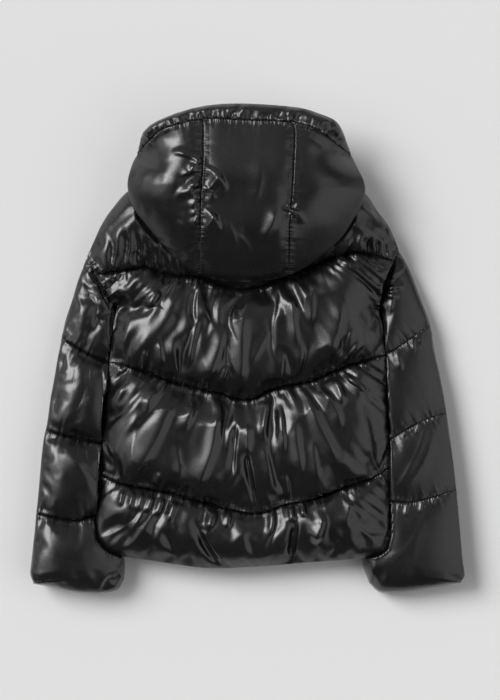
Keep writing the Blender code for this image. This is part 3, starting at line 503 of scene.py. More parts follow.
# ------------------------------------------------------------
# Sleeves: four padded nylon baffles on the upper side and four on the under side of each, set
# into the armhole and left open at the cuff. The inner edge lies under the body. After the
# filling the folds of a sleeve are pressed back, so only what the filling made of them stays.
# ------------------------------------------------------------
ARMHOLE_GAP = 0.4
ARMHOLE_STITCHES = 1.6
SLEEVE_TUCK_GAP = 1.5
SLEEVE_MID_OUTER = 36.0
SLEEVE_MID_INNER = 12.0
SLEEVE_INNER_X = 225.0
SLEEVE_OUTER_X = 365.0
SLEEVE_LEAN = 0.06
SLEEVE_PUFF = 41.0
SLEEVE_SEAM_SHARE = {"left": 0.40, "right": 0.72}
SLEEVE_FALL = {"left": 0.0, "right": 0.5}
SLEEVE_FALL_FROM = 0.25
SLEEVE_OUTER_ROUND = 105.0
SLEEVE_INNER_ROUND = 20.0
SLEEVE_CUFF_ROUND = 36.0
TUCK_SLOPE = 9.0
SLEEVE_SPREAD = 900.0
SLEEVE_FAN_Y = 100.0
SLEEVE_FAN_X = 150.0
SLEEVE_STEP = 3.4
UNDER_SLEEVE_STEP = 7.0
SLEEVE_EASE = {"left": 0.05, "right": 0.0}
SLEEVE_GATHERS = {"left": 1.0, "right": 0.6}
SLEEVE_WAVES = {"left": 0.5, "right": 0.1}
CALM_CUFF_Y = -285.0
CUFF_FADE = 30.0
CUFF_CALM = 0.6
SLEEVE_PRESSURE = 5.0
SLEEVE_MOST = 13.0
UNDER_SLEEVE_MOST = 8.0
SLEEVE_RAISED = -0.55
FAR = 99.0

SLEEVE_LEFT_OUTER = [
    (-281, 164), (-297, 124), (-309, 84), (-319, 54), (-326, 21), (-333, -12), (-340, -51), (-346, -84),
    (-353, -131), (-360, -168), (-370, -284), (-379, -371), (-381, -392), (-375, -410),
]
SLEEVE_LEFT_INNER = [
    (-227, 74), (-229, 46), (-226, 9), (-221, -28), (-228, -168), (-225, -290), (-216, -371), (-218, -404),
]
SLEEVE_RIGHT_OUTER = [
    (264, 178), (284, 142), (304, 91), (321, 44), (328, 0), (337, -40), (346, -88), (358, -175),
    (367, -262), (372, -315), (377, -368), (380.6, -394), (374, -408),
]
SLEEVE_RIGHT_INNER = [
    (230, 66), (232, 40), (229, 4), (225, -35), (232, -168), (226, -290), (203, -366), (214, -410),
]
SLEEVE_LEFT_SEAMS = [
    [(-326, 21), (-279, -7), (-242, -23), (-221, -28)],
    [(-354, -140), (-311, -152), (-270, -161), (-228, -170)],
    [(-370, -287), (-304, -298), (-274, -292), (-225, -290)],
]
SLEEVE_RIGHT_SEAMS = [
    [(321, 44), (309, 37), (263, 4), (239, -9), (225, -32)],
    [(349, -110), (314, -121), (284, -136), (248, -158), (232, -168)],
    [(366, -243), (356, -248), (293, -266), (253, -266), (228, -273)],
]
CUFF_LEFT = [(-375, -410), (-335, -418), (-298, -425), (-258, -427), (-230, -422), (-218, -404)]
CUFF_RIGHT = [(374, -408), (328, -416), (276, -425), (235, -427), (214, -410)]
SLEEVE_FOLDS = [Fold(*row) for row in (
    (-284, 140, -262, 104, 0, 7, -8), (-262, 104, -244, 70, 0, 7, -8), (-276, 96, -250, 84, 0, 6, -7),
    (-262, 60, -236, 64, 0, 6, -6), (-268, 128, -256, 96, 0, 9, -6), (-287, 118, -262, 70, 2, 10, 8),
    (-270, 60, -238, 48, 0, 9, 6), (-300, 56, -312, 20, 2, 14, 5), (-280, 60, -284, 24, 0, 11, 5),
    (-258, 96, -268, 40, 0, 8, 6), (-282, -60, -310, -118, 4, 20, 9), (-256, -18, -250, -150, 3, 10, 9),
    (-320, 0, -336, -80, 0, 24, 4), (-300, -24, -306, -60, 0, 9, 6), (-276, -24, -278, -56, 0, 9, 6),
    (-318, -150, -322, -180, 0, 8, 6), (-296, -156, -300, -190, 0, 8, 7),
    (-284, -160, -280, -196, 0, 7, 6), (-320, -165, -258, -270, 5, 14, -8),
    (-264, -166, -254, -214, 0, 8, 7), (-290, -200, -246, -262, 3, 12, 6),
    (-336, -220, -344, -270, 0, 18, 4), (-330, -292, -334, -312, 0, 6, 5),
    (-312, -298, -315, -318, 0, 6, 5), (-296, -300, -298, -320, 0, 6, 5),
    (-318, -312, -296, -392, 4, 22, 4), (-262, -310, -250, -380, 0, 14, -4),
    (268, 160, 250, 116, 0, 7, 4), (280, 150, 252, 124, 0, 6, 4), (274, 112, 244, 106, 0, 6, 4),
    (264, 92, 240, 96, 0, 6, 3), (258, 116, 250, 64, 0, 8, 3), (262, 0, 270, -34, 0, 8, 3),
    (254, -252, 316, -124, -8, 13, 1.5), (268, -250, 328, -140, -10, 12, 1.3),
    (256, -372, 310, -290, -6, 12, 2.4), (262, -410, 296, -330, -5, 10, 2),
    (290, 20, 293, -2, 0, 4, 1.6), (304, 28, 307, 8, 0, 4, 1.6), (278, -132, 274, -152, 0, 4, 1.8),
    (300, -126, 297, -146, 0, 4, 1.8), (328, -250, 326, -272, 0, 4, 1.6),
    (306, -260, 303, -284, 0, 4, 1.8), (280, -264, 277, -290, 0, 5, 2),
)]


def sleeve_middle(xy, away):
    """Height of the plane between the upper and the under side of a sleeve."""
    across = (away * xy[:, 0] - SLEEVE_LEAN * xy[:, 1] - SLEEVE_INNER_X) / (SLEEVE_OUTER_X - SLEEVE_INNER_X)
    return SLEEVE_MID_INNER + (SLEEVE_MID_OUTER - SLEEVE_MID_INNER) * across


def sleeve_share(xy, side, outer_edge, inner_edge, cuff, seams):
    """The share of a sleeve's full padding. It slopes to the outside, and is fullest beside the body."""
    share = quarter_round(distance([cuff], xy) / SLEEVE_CUFF_ROUND)
    share = np.minimum(share, quarter_round(distance([outer_edge], xy) / SLEEVE_OUTER_ROUND))
    share = np.minimum(share, quarter_round(distance([inner_edge], xy) / SLEEVE_INNER_ROUND))
    quilting, armhole = seams[:-1], seams[-1:]
    across = np.clip((abs(xy[:, 0]) - SLEEVE_INNER_X) / (SLEEVE_OUTER_X - SLEEVE_INNER_X), 0, 1)
    share *= 1 + SLEEVE_FALL[side] * (SLEEVE_FALL_FROM - across)
    return share * puffed(xy, [], quilting, SLEEVE_SEAM_SHARE[side]) * puffed(xy, [], armhole, ARMHOLE_SHARE)


def sleeve_creases(xy, side, share):
    """The folds of a sleeve. The right one and both cuffs hang smoother."""
    detail = SLEEVE_WAVES[side] * creased(xy, SLEEVE_FAN_Y, SLEEVE_FAN_X, SLEEVE_SPREAD, BACK_WAVES)
    detail += fold_rise(SLEEVE_FOLDS, xy)
    calm = 1 - CUFF_CALM * smooth_step((CALM_CUFF_Y - xy[:, 1]) / CUFF_FADE)
    return calm * detail * np.minimum(1, FOLD_ONSET * share)


def sleeve_ceiling(xy, body_side):
    """Highest that a sleeve reaches: below the body's underside, and steeply up beside its edge."""
    outside = np.minimum(distance([body_side], xy), distance([hem], xy))
    beside = MID_HEIGHT + EDGE_WALL + outside * TUCK_SLOPE
    limit = np.where(inside(body_outline, xy), under_level(xy), beside)
    return np.where(xy[:, 1] > body_side[0][1], FAR, limit - SLEEVE_TUCK_GAP)


sleeve_stitch_paths = []
for side, away, points, seam_points, armhole, body_side in (
    ("left", -1, (SLEEVE_LEFT_OUTER, SLEEVE_LEFT_INNER, CUFF_LEFT), SLEEVE_LEFT_SEAMS, armhole_left,
     side_left),
    ("right", 1, (SLEEVE_RIGHT_OUTER, SLEEVE_RIGHT_INNER, CUFF_RIGHT), SLEEVE_RIGHT_SEAMS, armhole_right,
     side_right),
):
    outer_edge, inner_edge, cuff = (smooth_path(path) for path in points)
    sleeve_seams = [smooth_path(path) for path in seam_points]
    sleeve_edges = (outer_edge, inner_edge, cuff)
    start = inset(armhole, ARMHOLE_GAP, outer_edge[-1])
    away_from_body = moved(armhole, dx=away * ARMHOLE_STITCHES)

    def upper_height(xy):
        floor = sleeve_middle(xy, away) + SEAM_GAP / 2
        share = sleeve_share(xy, side, *sleeve_edges, [*sleeve_seams, armhole])
        rise = EDGE_WALL + (SLEEVE_PUFF - EDGE_WALL) * share + FOLD_SEEDED * sleeve_creases(xy, side, share)
        return np.maximum(floor + EDGE_WALL, np.minimum(floor + rise, sleeve_ceiling(xy, body_side)))

    def under_height(xy):
        deep = sleeve_middle(xy, away) - SEAM_GAP / 2 - EDGE_WALL
        quilt = FRONT_QUILT_DEPTH * np.exp(-distance(sleeve_seams, xy) / FRONT_QUILT_REACH)
        rounded = deep * (1 - quarter_round(distance(sleeve_edges, xy) / UNDER_ROUND))
        return np.minimum(deep, rounded + quilt)

    for seam in [*sleeve_seams, away_from_body]:
        shown = seam[~inside(body_outline, seam)]
        sleeve_stitch_paths.append(np.column_stack([shown, upper_height(shown)]))
    paths = (start, sleeve_seams, cuff, outer_edge, inner_edge)
    for number, grid in enumerate(stacked(*paths, SLEEVE_STEP), 1):
        lining = with_height(grid, lambda xy: sleeve_middle(xy, away) + SEAM_GAP / 2)
        seams = [*sleeve_seams, armhole]
        outer = with_height(grid, upper_height)
        baffle = padded_panel(
            f"sleeve_{side}_upper_baffle_{number}", outer, lining, SLEEVE_MOST, seams,
            ceiling=lambda xy, body_side=body_side: sleeve_ceiling(xy, body_side),
            raised=SLEEVE_RAISED, gathers=SLEEVE_GATHERS[side],
            creases=lambda xy, side=side, edges=sleeve_edges, seams=seams: sleeve_creases(
                xy, side, sleeve_share(xy, side, *edges, seams)),
        )
        press_out(baffle, SLEEVE_EASE[side], SLEEVE_PRESSURE)
        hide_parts(f"sleeve_{side}_upper_{number}")
    for number, grid in enumerate(stacked(*paths, UNDER_SLEEVE_STEP), 1):
        lining = with_height(grid, lambda xy: sleeve_middle(xy, away) - SEAM_GAP / 2)
        baffle = padded_panel(f"sleeve_{side}_under_baffle_{number}", with_height(grid, under_height), lining,
                              UNDER_SLEEVE_MOST, sleeve_seams, floor=surface)
        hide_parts(f"sleeve_{side}_under_{number}")

# ------------------------------------------------------------
# Hood: a padded bag of a centre panel and two side panels, filled out and lying on the yoke.
# Its walls are quilted nylon like the body's, drawn in along the two lengthwise seams.
# ------------------------------------------------------------
HOOD_WALL = 12.0
HOOD_UNDER_WALL = 9.0
HOOD_CROWN = 146.0
HOOD_MOUTH_CROWN = 124.0
HOOD_ROUND = 88.0
HOOD_SEAM_DIP = 4.5
HOOD_SEAM_REACH = 7.0
HOOD_EDGE_INSET = 2.0
HOOD_MIDDLE = (0.0, 250.0)
YOKE_CLEARANCE = 0.35
MOUTH_LEVEL = 34.0
LEVEL_FLAT_Y = 292.0
MOUTH_Y = 429.0
CROWN_FALL_Y = 290.0
FOOT_FLAT_Y = 298.0
FOOT_LOW_Y = 352.0
FOOT_LOW = 69.0
HOOD_STEP = 3.6
HOOD_EASE = {"hood_side_left": 0.02, "hood_center": 0.015, "hood_side_right": 0.0}
HOOD_CALM = 0.5
HOOD_CALM_FROM = 25.0
HOOD_CALM_FADE = 20.0
HOOD_WAVES = 0.35
HOOD_FAN_Y = 300.0
HOOD_FAN_X = -150.0
HOOD_RAISED = 0.165
HOOD_GATHERS = 0.3
HOOD_MOST = 4.0
HOOD_PRESSURE = 5.0

HOOD_TOP = [
    (-191, 346), (-178, 383), (-132, 408), (-74, 424), (-8, 428), (81, 422), (123, 411), (158, 393),
    (179, 346),
]
CASING_SEAM = [
    (-193, 340), (-176, 359), (-144, 384), (-76, 401), (-8, 399), (69, 396), (113, 385), (146, 363),
    (181, 340),
]
HOOD_SEAM_LEFT = [(-76, 401), (-76, 355), (-76, 322), (-80, 254), (-81, 194), (-83, 132)]
HOOD_SEAM_RIGHT = [(81, 393.6), (83, 374), (81, 322), (78, 268), (76, 238), (74, 194), (73, 130)]
HOOD_FOLDS = [Fold(*row) for row in (
    (-76, 322, -127, 343, -3, 9, 9), (-74, 313, -113, 301, -2, 8, 8), (-78, 262, -120, 273, -2, 12, 9),
    (-78, 284, -104, 286, 0, 7, 7), (-76, 250, -97, 233, 0, 8, 8), (-80, 226, -98, 212, 0, 7, 6),
    (-75, 318, -36, 278, 5, 10, 10), (-76, 246, -47, 206, 5, 11, 10), (-76, 284, -54, 262, 0, 7, 6),
    (52, 244, 26, 188, 4, 12, 9), (62, 246, 92, 238, 0, 4, 6), (70, 254, 84, 230, 0, 4, 6),
    (84, 256, 68, 232, 0, 4, -6), (76, 241, 100, 222, 3, 8, 5), (92, 386, 146, 360, 3, 9, -9),
    (96, 374, 134, 352, 2, 8, -7), (-150, 250, -128, 200, 4, 20, 2), (-112, 352, -148, 330, 3, 12, 2),
    (-40, 230, -20, 170, 4, 12, 3), (20, 330, 10, 250, 6, 18, 3), (-130, 300, -108, 262, 4, 14, 2),
    (110, 330, 130, 250, 6, 22, 1), (-20, 200, 8, 160, 4, 14, 3), (-120, 225, -98, 190, 4, 12, 3),
    (-79, 330, -98, 310, 0, 7, 9), (-80, 300, -106, 270, 2, 9, 11), (-80, 268, -97, 246, 0, 7, 9),
    (-82, 236, -94, 218, 0, 6, 8), (-44, 302, -66, 276, 0, 8, 10), (-52, 234, -71, 208, 0, 8, 10),
)]

hood_top = smooth_path(HOOD_TOP)
casing_seam = smooth_path(CASING_SEAM)
hood_fold = smooth_path(HOOD_FOLD)
hood_closed_left = smooth_path(HOOD_SIDE_LEFT)
hood_closed_right = smooth_path(HOOD_SIDE_RIGHT)
hood_seams = [smooth_path(HOOD_SEAM_LEFT), smooth_path(HOOD_SEAM_RIGHT)]


def rest_level(y):
    """Height of the hood's lowest wall: flat over the yoke, falling beyond the neck."""
    flat = MID_HEIGHT + SEAM_GAP / 2 + BACK_PUFF + YOKE_CLEARANCE
    return MOUTH_LEVEL + (flat - MOUTH_LEVEL) * smooth_step((MOUTH_Y - y) / (MOUTH_Y - LEVEL_FLAT_Y))


def hood_foot(y):
    """Height of the hood's closed edge: on the wall under it, then down beyond the shoulders."""
    flat = rest_level(LEVEL_FLAT_Y) + HOOD_UNDER_WALL + SEAM_GAP
    return FOOT_LOW + (flat - FOOT_LOW) * smooth_step((FOOT_LOW_Y - y) / (FOOT_LOW_Y - FOOT_FLAT_Y))


def hood_height(xy, depth=0.0):
    """Height of the hood's wall, depth below its outer side."""
    to_edge = np.maximum(0.0, nearest(hood_closed, xy)[0] - depth)
    fall = smooth_step((xy[:, 1] - CROWN_FALL_Y) / (MOUTH_Y - CROWN_FALL_Y))
    crown = HOOD_CROWN + (HOOD_MOUTH_CROWN - HOOD_CROWN) * fall - depth
    foot = hood_foot(xy[:, 1])
    return foot + (crown - foot) * arch(to_edge / (HOOD_ROUND - depth))


def panel_height(xy, drawn_seam):
    """Height of one panel, drawn in along its right seam, where the next panel laps over it."""
    height = hood_height(xy) + FOLD_SEEDED * hood_creases(xy)
    if drawn_seam is not None:
        rounding = quarter_round(nearest(hood_closed, xy)[0] / HOOD_ROUND)
        height -= HOOD_SEAM_DIP * np.exp(-nearest(drawn_seam, xy)[0] / HOOD_SEAM_REACH) * rounding
    return height


def hood_creases(xy):
    """The folds of the hood. They are pulled from its left seam, and its right side is nearly smooth."""
    left_of_calm = hood_seams[1][0][0] + HOOD_CALM_FROM - xy[:, 0]
    calm = HOOD_CALM + (1 - HOOD_CALM) * smooth_step(left_of_calm / HOOD_CALM_FADE)
    left_side = smooth_step((hood_seams[0][0][0] - xy[:, 0]) / HOOD_CALM_FADE)
    waves = HOOD_WAVES * left_side * creased(xy, HOOD_FAN_Y, HOOD_FAN_X, SLEEVE_SPREAD, BACK_WAVES)
    rounding = quarter_round(nearest(hood_closed, xy)[0] / HOOD_ROUND)
    return (calm * fold_rise(HOOD_FOLDS, xy) + waves) * rounding


def casing_part(x_from, x_to):
    kept = casing_seam[(casing_seam[:, 0] > x_from) & (casing_seam[:, 0] < x_to)]
    y_from, y_to = np.interp([x_from, x_to], casing_seam[:, 0], casing_seam[:, 1])
    return moved(np.vstack([[(x_from, y_from)], kept, [(x_to, y_to)]]), dy=-SEAM_GAP / 2)


gap = SEAM_GAP / 2
for node, left, right, closed_side, drawn_seam in (
    ("hood_side_left", hood_closed_left, moved(hood_seams[0], dx=-gap), "left", hood_seams[0]),
    ("hood_center", moved(hood_seams[0], dx=gap), moved(hood_seams[1], dx=-gap), None, hood_seams[1]),
    ("hood_side_right", moved(hood_seams[1], dx=gap), hood_closed_right, "right", None),
):
    top = joined(casing_part(left[0][0], right[0][0]), left[0], right[0])
    kept_fold = hood_fold[(hood_fold[:, 0] > left[-1][0]) & (hood_fold[:, 0] < right[-1][0])]
    bottom = np.vstack([[left[-1]], kept_fold, [right[-1]]])
    in_left = between(left, left[0][1], left[-1][1] + HOOD_WALL)
    in_right = between(right, right[0][1], right[-1][1] + HOOD_WALL)
    in_top = top
    if closed_side == "left":
        in_left = inset(left, HOOD_WALL, HOOD_MIDDLE)
        in_top = np.vstack([[in_left[0]], top[top[:, 0] > in_left[0][0] + 1]])
    if closed_side == "right":
        in_right = inset(right, HOOD_WALL, HOOD_MIDDLE)
        in_top = np.vstack([top[top[:, 0] < in_right[0][0] - 1], [in_right[0]]])
    in_bottom = joined(inset(bottom, HOOD_WALL, HOOD_MIDDLE), in_left[-1], in_right[-1])
    outer_grid = patch(top, bottom, left, right, HOOD_STEP)
    rows, columns = outer_grid.shape[:2]
    inner_grid = patch(in_top, in_bottom, in_left, in_right, HOOD_STEP, (columns, rows))
    outer = with_height(outer_grid, lambda xy: panel_height(xy, drawn_seam))
    inner = with_height(inner_grid, lambda xy: hood_height(xy, HOOD_WALL))
    hood_panel = padded_panel(f"{node}_panel", outer, inner, HOOD_MOST, [*hood_seams, casing_seam],
                              flat_inner=False, creases=hood_creases, raised=HOOD_RAISED,
                              gathers=HOOD_GATHERS)
    press_out(hood_panel, HOOD_EASE[node], HOOD_PRESSURE)
    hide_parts(node)

# ------------------------------------------------------------
# Hood casing: the finely gathered channel of nylon round the mouth of the hood, stitched to
# the hood's panels along one seam and turned in at the rim.
# ------------------------------------------------------------
CASING_GAP = 0.4
CASING_WALL = 15.0
CASING_ROLL = 9.0
CASING_ROUND = 9.0
CASING_STEP = 2.6
CASING_EASE = 0.04
CASING_PRESSURE = 3.0
CASING_MOST = 6.0
PUCKER_STEP = 5.0
PUCKER_COUNT = 1200
CASING_GATHER_REACH = 6.0
CASING_GATHERS = 2.4
CASING_SWELLS = 3.4
CASING_SWELL_LENGTH = 2.3
CASING_SWELL_START = 200
CASING_SLANT = 0.9


rng = np.random.default_rng(12)
pucker_heights = rng.uniform(-1, 1, PUCKER_COUNT)


def puckers(along):
    """Small uneven gathers along a line of stitching."""
    place = along / PUCKER_STEP
    first = np.floor(place).astype(int)
    blend = smooth_step(place - first)
    return pucker_heights[first] * (1 - blend) + pucker_heights[first + 1] * blend


def casing_floor(xy):
    return np.maximum(hood_height(xy) - CASING_WALL, hood_foot(xy[:, 1]) + SLEEVE_TUCK_GAP)


def casing_height(xy):
    to_rim, along = nearest(hood_top, xy)
    rounding = quarter_round(to_rim / CASING_ROUND)
    gathers = CASING_GATHERS * puckers(along) * np.exp(-nearest(casing_seam, xy)[0] / CASING_GATHER_REACH)
    slanted = (along + CASING_SLANT * to_rim) / CASING_SWELL_LENGTH
    swells = CASING_SWELLS * puckers(slanted + CASING_SWELL_START)
    rolled = hood_height(xy) - CASING_ROLL * (1 - rounding) + (gathers + swells) * rounding
    return np.maximum(rolled, casing_floor(xy) + EDGE_WALL)


lower_line = moved(casing_seam, dy=CASING_GAP)
casing_ends = [np.array([hood_top[end], lower_line[end]]) for end in (0, -1)]
casing_grid = patch(hood_top, lower_line, *casing_ends, CASING_STEP)
casing = padded_panel("hood_casing_channel", with_height(casing_grid, casing_height),
                      with_height(casing_grid, casing_floor), CASING_MOST, [casing_seam], flat_inner=False)
press_out(casing, CASING_EASE, CASING_PRESSURE)
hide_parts("hood_casing")

# ------------------------------------------------------------
# Wall under the hood's hollow, which lies on the yoke, and the hood's two lower fronts, which
# rest on the surface on each side of the zip. Padded nylon, sewn to the neck of the body.
# ------------------------------------------------------------
UNDER_NECK = [(-204, 278), (-153, 300), (-92, 320), (1, 299), (94, 320), (153, 300), (202, 274)]
UNDER_SIDE_END_Y = 168.0
LOWER_LIP_LEFT = [(-187, 346), (-165, 372), (-120, 388), (-60, 396), (-4.5, 398)]
LOWER_LIP_RIGHT = [(4.5, 398), (60, 396), (110, 388), (150, 372), (174, 346)]
LOWER_MIDDLE = 34.0
LOWER_HALF_WIDTH = 195.0
LOWER_RISE = 3.0
LOWER_EDGE_LIFT = 24.0
FOOT_CLEARANCE = 2.6
LOWER_STEP = 6.0
UNDER_WALL_MOST = 2.0
LOWER_MOST = 7.0

in_left, in_fold, in_right = (
    inset(edge, HOOD_EDGE_INSET, HOOD_MIDDLE) for edge in (hood_closed_left, hood_fold, hood_closed_right)
)
low_left = between(in_left, UNDER_NECK[0][1], UNDER_SIDE_END_Y)
low_right = between(in_right, UNDER_NECK[-1][1], UNDER_SIDE_END_Y)
low_fold = joined(in_fold[1:-1], low_left[-1], low_right[-1])
neck_grid = patch(smooth_path(UNDER_NECK), low_fold, low_left, low_right, LOWER_STEP)
under_wall = padded_panel("hood_under_wall",
                          with_height(neck_grid, lambda xy: rest_level(xy[:, 1]) + HOOD_UNDER_WALL),
                          with_height(neck_grid, lambda xy: rest_level(xy[:, 1])), UNDER_WALL_MOST, [],
                          flat_inner=False)
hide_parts("hood_under")

for side, closed, lip_points in (("left", hood_closed_left, LOWER_LIP_LEFT),
                                 ("right", hood_closed_right, LOWER_LIP_RIGHT[::-1])):
    lip = smooth_path(lip_points)
    seam_row = front_grids(side, FRONT_STEP)[0][0][0]
    seam_row = seam_row[abs(seam_row[:, 0]) < LOWER_HALF_WIDTH]
    lower_seam = inset(seam_row, SEAM_GAP, lip[-1])
    lower_outer = between(inset(closed, HOOD_EDGE_INSET, HOOD_MIDDLE), lip[0][1], lower_seam[0][1])
    lower_outer = joined(lower_outer, lower_outer[0], lower_seam[0])
    zip_edge = np.array([lip[-1], (lip[-1][0], lower_seam[-1][1] + SEAM_GAP)])
    lower_grid = patch(lip, lower_seam, lower_outer, zip_edge, LOWER_STEP)

    def lower_top(xy):
        edge = 1 - smooth_step(nearest(lower_outer, xy)[0] / LIFT_WIDTH)
        below_back = MID_HEIGHT - SEAM_GAP + LOWER_RISE * nearest(lower_seam, xy)[0]
        beside_foot = hood_foot(xy[:, 1]) - FOOT_CLEARANCE
        return np.minimum(LOWER_MIDDLE + (beside_foot - LOWER_MIDDLE) * edge, below_back)

    def lower_bottom(xy):
        return LOWER_EDGE_LIFT * (1 - quarter_round(distance([lower_outer, lip], xy) / UNDER_ROUND))

    lower_front = padded_panel(f"hood_{side}_lower_front", with_height(lower_grid, lower_bottom),
                               with_height(lower_grid, lower_top), LOWER_MOST, [], flat_inner=False,
                              floor=surface)
    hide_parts(f"hood_lower_{side}")

# ------------------------------------------------------------
# Filling: down-like fibre presses every baffle out. The cloth is longer than the space between
# its seams, so it buckles into creases, and the thread draws fine puckers into it at each seam.
# ------------------------------------------------------------
FILLING_FRAMES = 16
PUCKER_DEPTH = 3.0
PUCKER_START = 1.5
PUCKER_REACH = 9.0
SEAM_SHIFT = 430.0
SOFTENING = 2


def piece_points(piece, count):
    """The first count points of a piece's mesh, in millimetres."""
    flat = np.empty(len(piece.data.vertices) * 3, np.float32)
    piece.data.vertices.foreach_get("co", flat)
    return flat.reshape(-1, 3)[:count] / MM


def halved(grid):
    """The grid with a point added in the middle of each step, on a smooth curve through the others."""
    before = np.concatenate([2 * grid[:1] - grid[1:2], grid[:-2]])
    after = np.concatenate([grid[2:], 2 * grid[-1:] - grid[-2:-1]])
    finer = np.empty((2 * len(grid) - 1, *grid.shape[1:]))
    finer[::2] = grid
    finer[1::2] = (9 * (grid[:-1] + grid[1:]) - before - after) / 16
    return finer


def finer_grid(grid):
    return halved(halved(grid).swapaxes(0, 1)).swapaxes(0, 1)


def softened(grid, passes):
    """The grid with its sharpest corners rounded, its rim kept."""
    for _ in range(passes):
        grid = grid.copy()
        grid[1:-1] = 0.25 * grid[:-2] + 0.5 * grid[1:-1] + 0.25 * grid[2:]
        grid[:, 1:-1] = 0.25 * grid[:, :-2] + 0.5 * grid[:, 1:-1] + 0.25 * grid[:, 2:]
    return grid


def grid_normals(grid):
    """The outward direction at each point of a grid whose rows run downwards."""
    normals = np.cross(np.gradient(grid, axis=0), np.gradient(grid, axis=1))
    return normals / (np.linalg.norm(normals, axis=2, keepdims=True) + 1e-9)


counts = [panel.outer.shape[0] * panel.outer.shape[1] for panel in panels]
for number in range(1, FILLING_FRAMES + 1):
    bpy.context.scene.frame_set(number)
graph = bpy.context.evaluated_depsgraph_get()
filled = [piece_points(panel.piece.evaluated_get(graph), count) for panel, count in zip(panels, counts)]
for panel, after in zip(panels, filled):
    before = panel.outer.reshape(-1, 3)
    xy = before[:, :2]
    shift = after - before
    length = np.linalg.norm(shift, axis=1, keepdims=True) + 1e-9
    shift *= np.tanh(length / panel.most) * panel.most / length
    after = before + softened(shift.reshape(panel.outer.shape), SOFTENING).reshape(-1, 3)
    if panel.ceiling:
        after[:, 2] = np.minimum(after[:, 2], np.maximum(panel.ceiling(xy), before[:, 2]))
    grid = finer_grid(after.reshape(panel.outer.shape))
    xy = grid[..., :2].reshape(-1, 2)
    stitch = np.full(len(xy), FAR)
    run = np.zeros(len(xy))
    for number, seam in enumerate(panel.seams):
        apart, along = nearest(seam, xy)
        closer = apart < stitch
        stitch[closer] = apart[closer]
        run[closer] = along[closer] + SEAM_SHIFT * number
    held = 1 - np.exp(-stitch / PUCKER_START)
    rise = -panel.gathers * PUCKER_DEPTH * puckers(run) * held * np.exp(-stitch / PUCKER_REACH)
    if panel.creases:
        rise += panel.raised * panel.creases(xy)
    grid += grid_normals(grid) * rise.reshape(*grid.shape[:2], 1)
    if panel.floor:
        grid[..., 2] = np.maximum(grid[..., 2], 0.0)
    piece = panel.piece
    piece.modifiers.clear()
    piece.vertex_groups.clear()
    piece.data = panel_mesh(piece.name, grid, finer_grid(panel.inner), panel.flat_inner)
    piece.data.shade_smooth()
    for label, values in (("stitch", stitch), ("run", run)):
        shown = np.full(len(piece.data.vertices), FAR)
        shown[: len(values)] = values
        attribute = piece.data.attributes.new(label, "FLOAT", "POINT")
        attribute.data.foreach_set("value", (shown * MM).astype(np.float32))

# ------------------------------------------------------------
# Lining: plain woven black taffeta inside the body, the sleeves and the hood, much duller than
# the shell, sewn in along the same seams.
# ------------------------------------------------------------
LINING_BLACK = (0.012, 0.012, 0.013, 1.0)
LINING_GREY = (0.022, 0.022, 0.023, 1.0)


class ClothNodes:
    """The nodes of one cloth material, added one at a time."""

    def __init__(self, name):
        self.material = bpy.data.materials.new(name)
        self.material.use_nodes = True
        self.nodes = self.material.node_tree.nodes
        self.links = self.material.node_tree.links
        self.shader = self.nodes["Principled BSDF"]
        self.place = self.nodes.new("ShaderNodeTexCoord").outputs["Object"]

    def noise(self, scale, detail, roughness=0.5):
        texture = self.nodes.new("ShaderNodeTexNoise")
        texture.inputs["Scale"].default_value = scale
        texture.inputs["Detail"].default_value = detail
        texture.inputs["Roughness"].default_value = roughness
        self.links.new(self.place, texture.inputs["Vector"])
        return texture.outputs["Fac"]

    def attribute(self, name):
        node = self.nodes.new("ShaderNodeAttribute")
        node.attribute_name = name
        return node.outputs["Fac"]

    def gathers(self, along, scale):
        """Uneven ridges across a seam, from the length along it."""
        texture = self.nodes.new("ShaderNodeTexNoise")
        texture.noise_dimensions = "1D"
        texture.inputs["Scale"].default_value = scale
        texture.inputs["Detail"].default_value = 1.0
        self.links.new(along, texture.inputs["W"])
        return texture.outputs["Fac"]

    def product(self, first, second):
        node = self.nodes.new("ShaderNodeMath")
        node.operation = "MULTIPLY"
        self.links.new(first, node.inputs[0])
        self.links.new(second, node.inputs[1])
        return node.outputs["Value"]

    def threads(self, direction, pitch):
        """Fine parallel threads, as many as one each pitch."""
        wave = self.nodes.new("ShaderNodeTexWave")
        wave.bands_direction = direction
        wave.inputs["Scale"].default_value = 1 / (3.2 * pitch)
        wave.inputs["Distortion"].default_value = 0.4
        self.links.new(self.place, wave.inputs["Vector"])
        return wave.outputs["Fac"]

    def ranged(self, value, from_low, from_high, to_low, to_high):
        span = self.nodes.new("ShaderNodeMapRange")
        limits = {"From Min": from_low, "From Max": from_high, "To Min": to_low, "To Max": to_high}
        for socket, number in limits.items():
            span.inputs[socket].default_value = number
        self.links.new(value, span.inputs["Value"])
        return span.outputs["Result"]

    def mixed(self, factor, first, second):
        mix = self.nodes.new("ShaderNodeMix")
        mix.data_type = "RGBA"
        mix.inputs["A"].default_value = first
        mix.inputs["B"].default_value = second
        self.links.new(factor, mix.inputs["Factor"])
        return mix.outputs["Result"]

    def bump(self, height, strength, depth, below=None):
        node = self.nodes.new("ShaderNodeBump")
        node.inputs["Strength"].default_value = strength
        node.inputs["Distance"].default_value = depth
        self.links.new(height, node.inputs["Height"])
        if below:
            self.links.new(below, node.inputs["Normal"])
        return node.outputs["Normal"]

    def to_shader(self, output, socket):
        self.links.new(output, self.shader.inputs[socket])


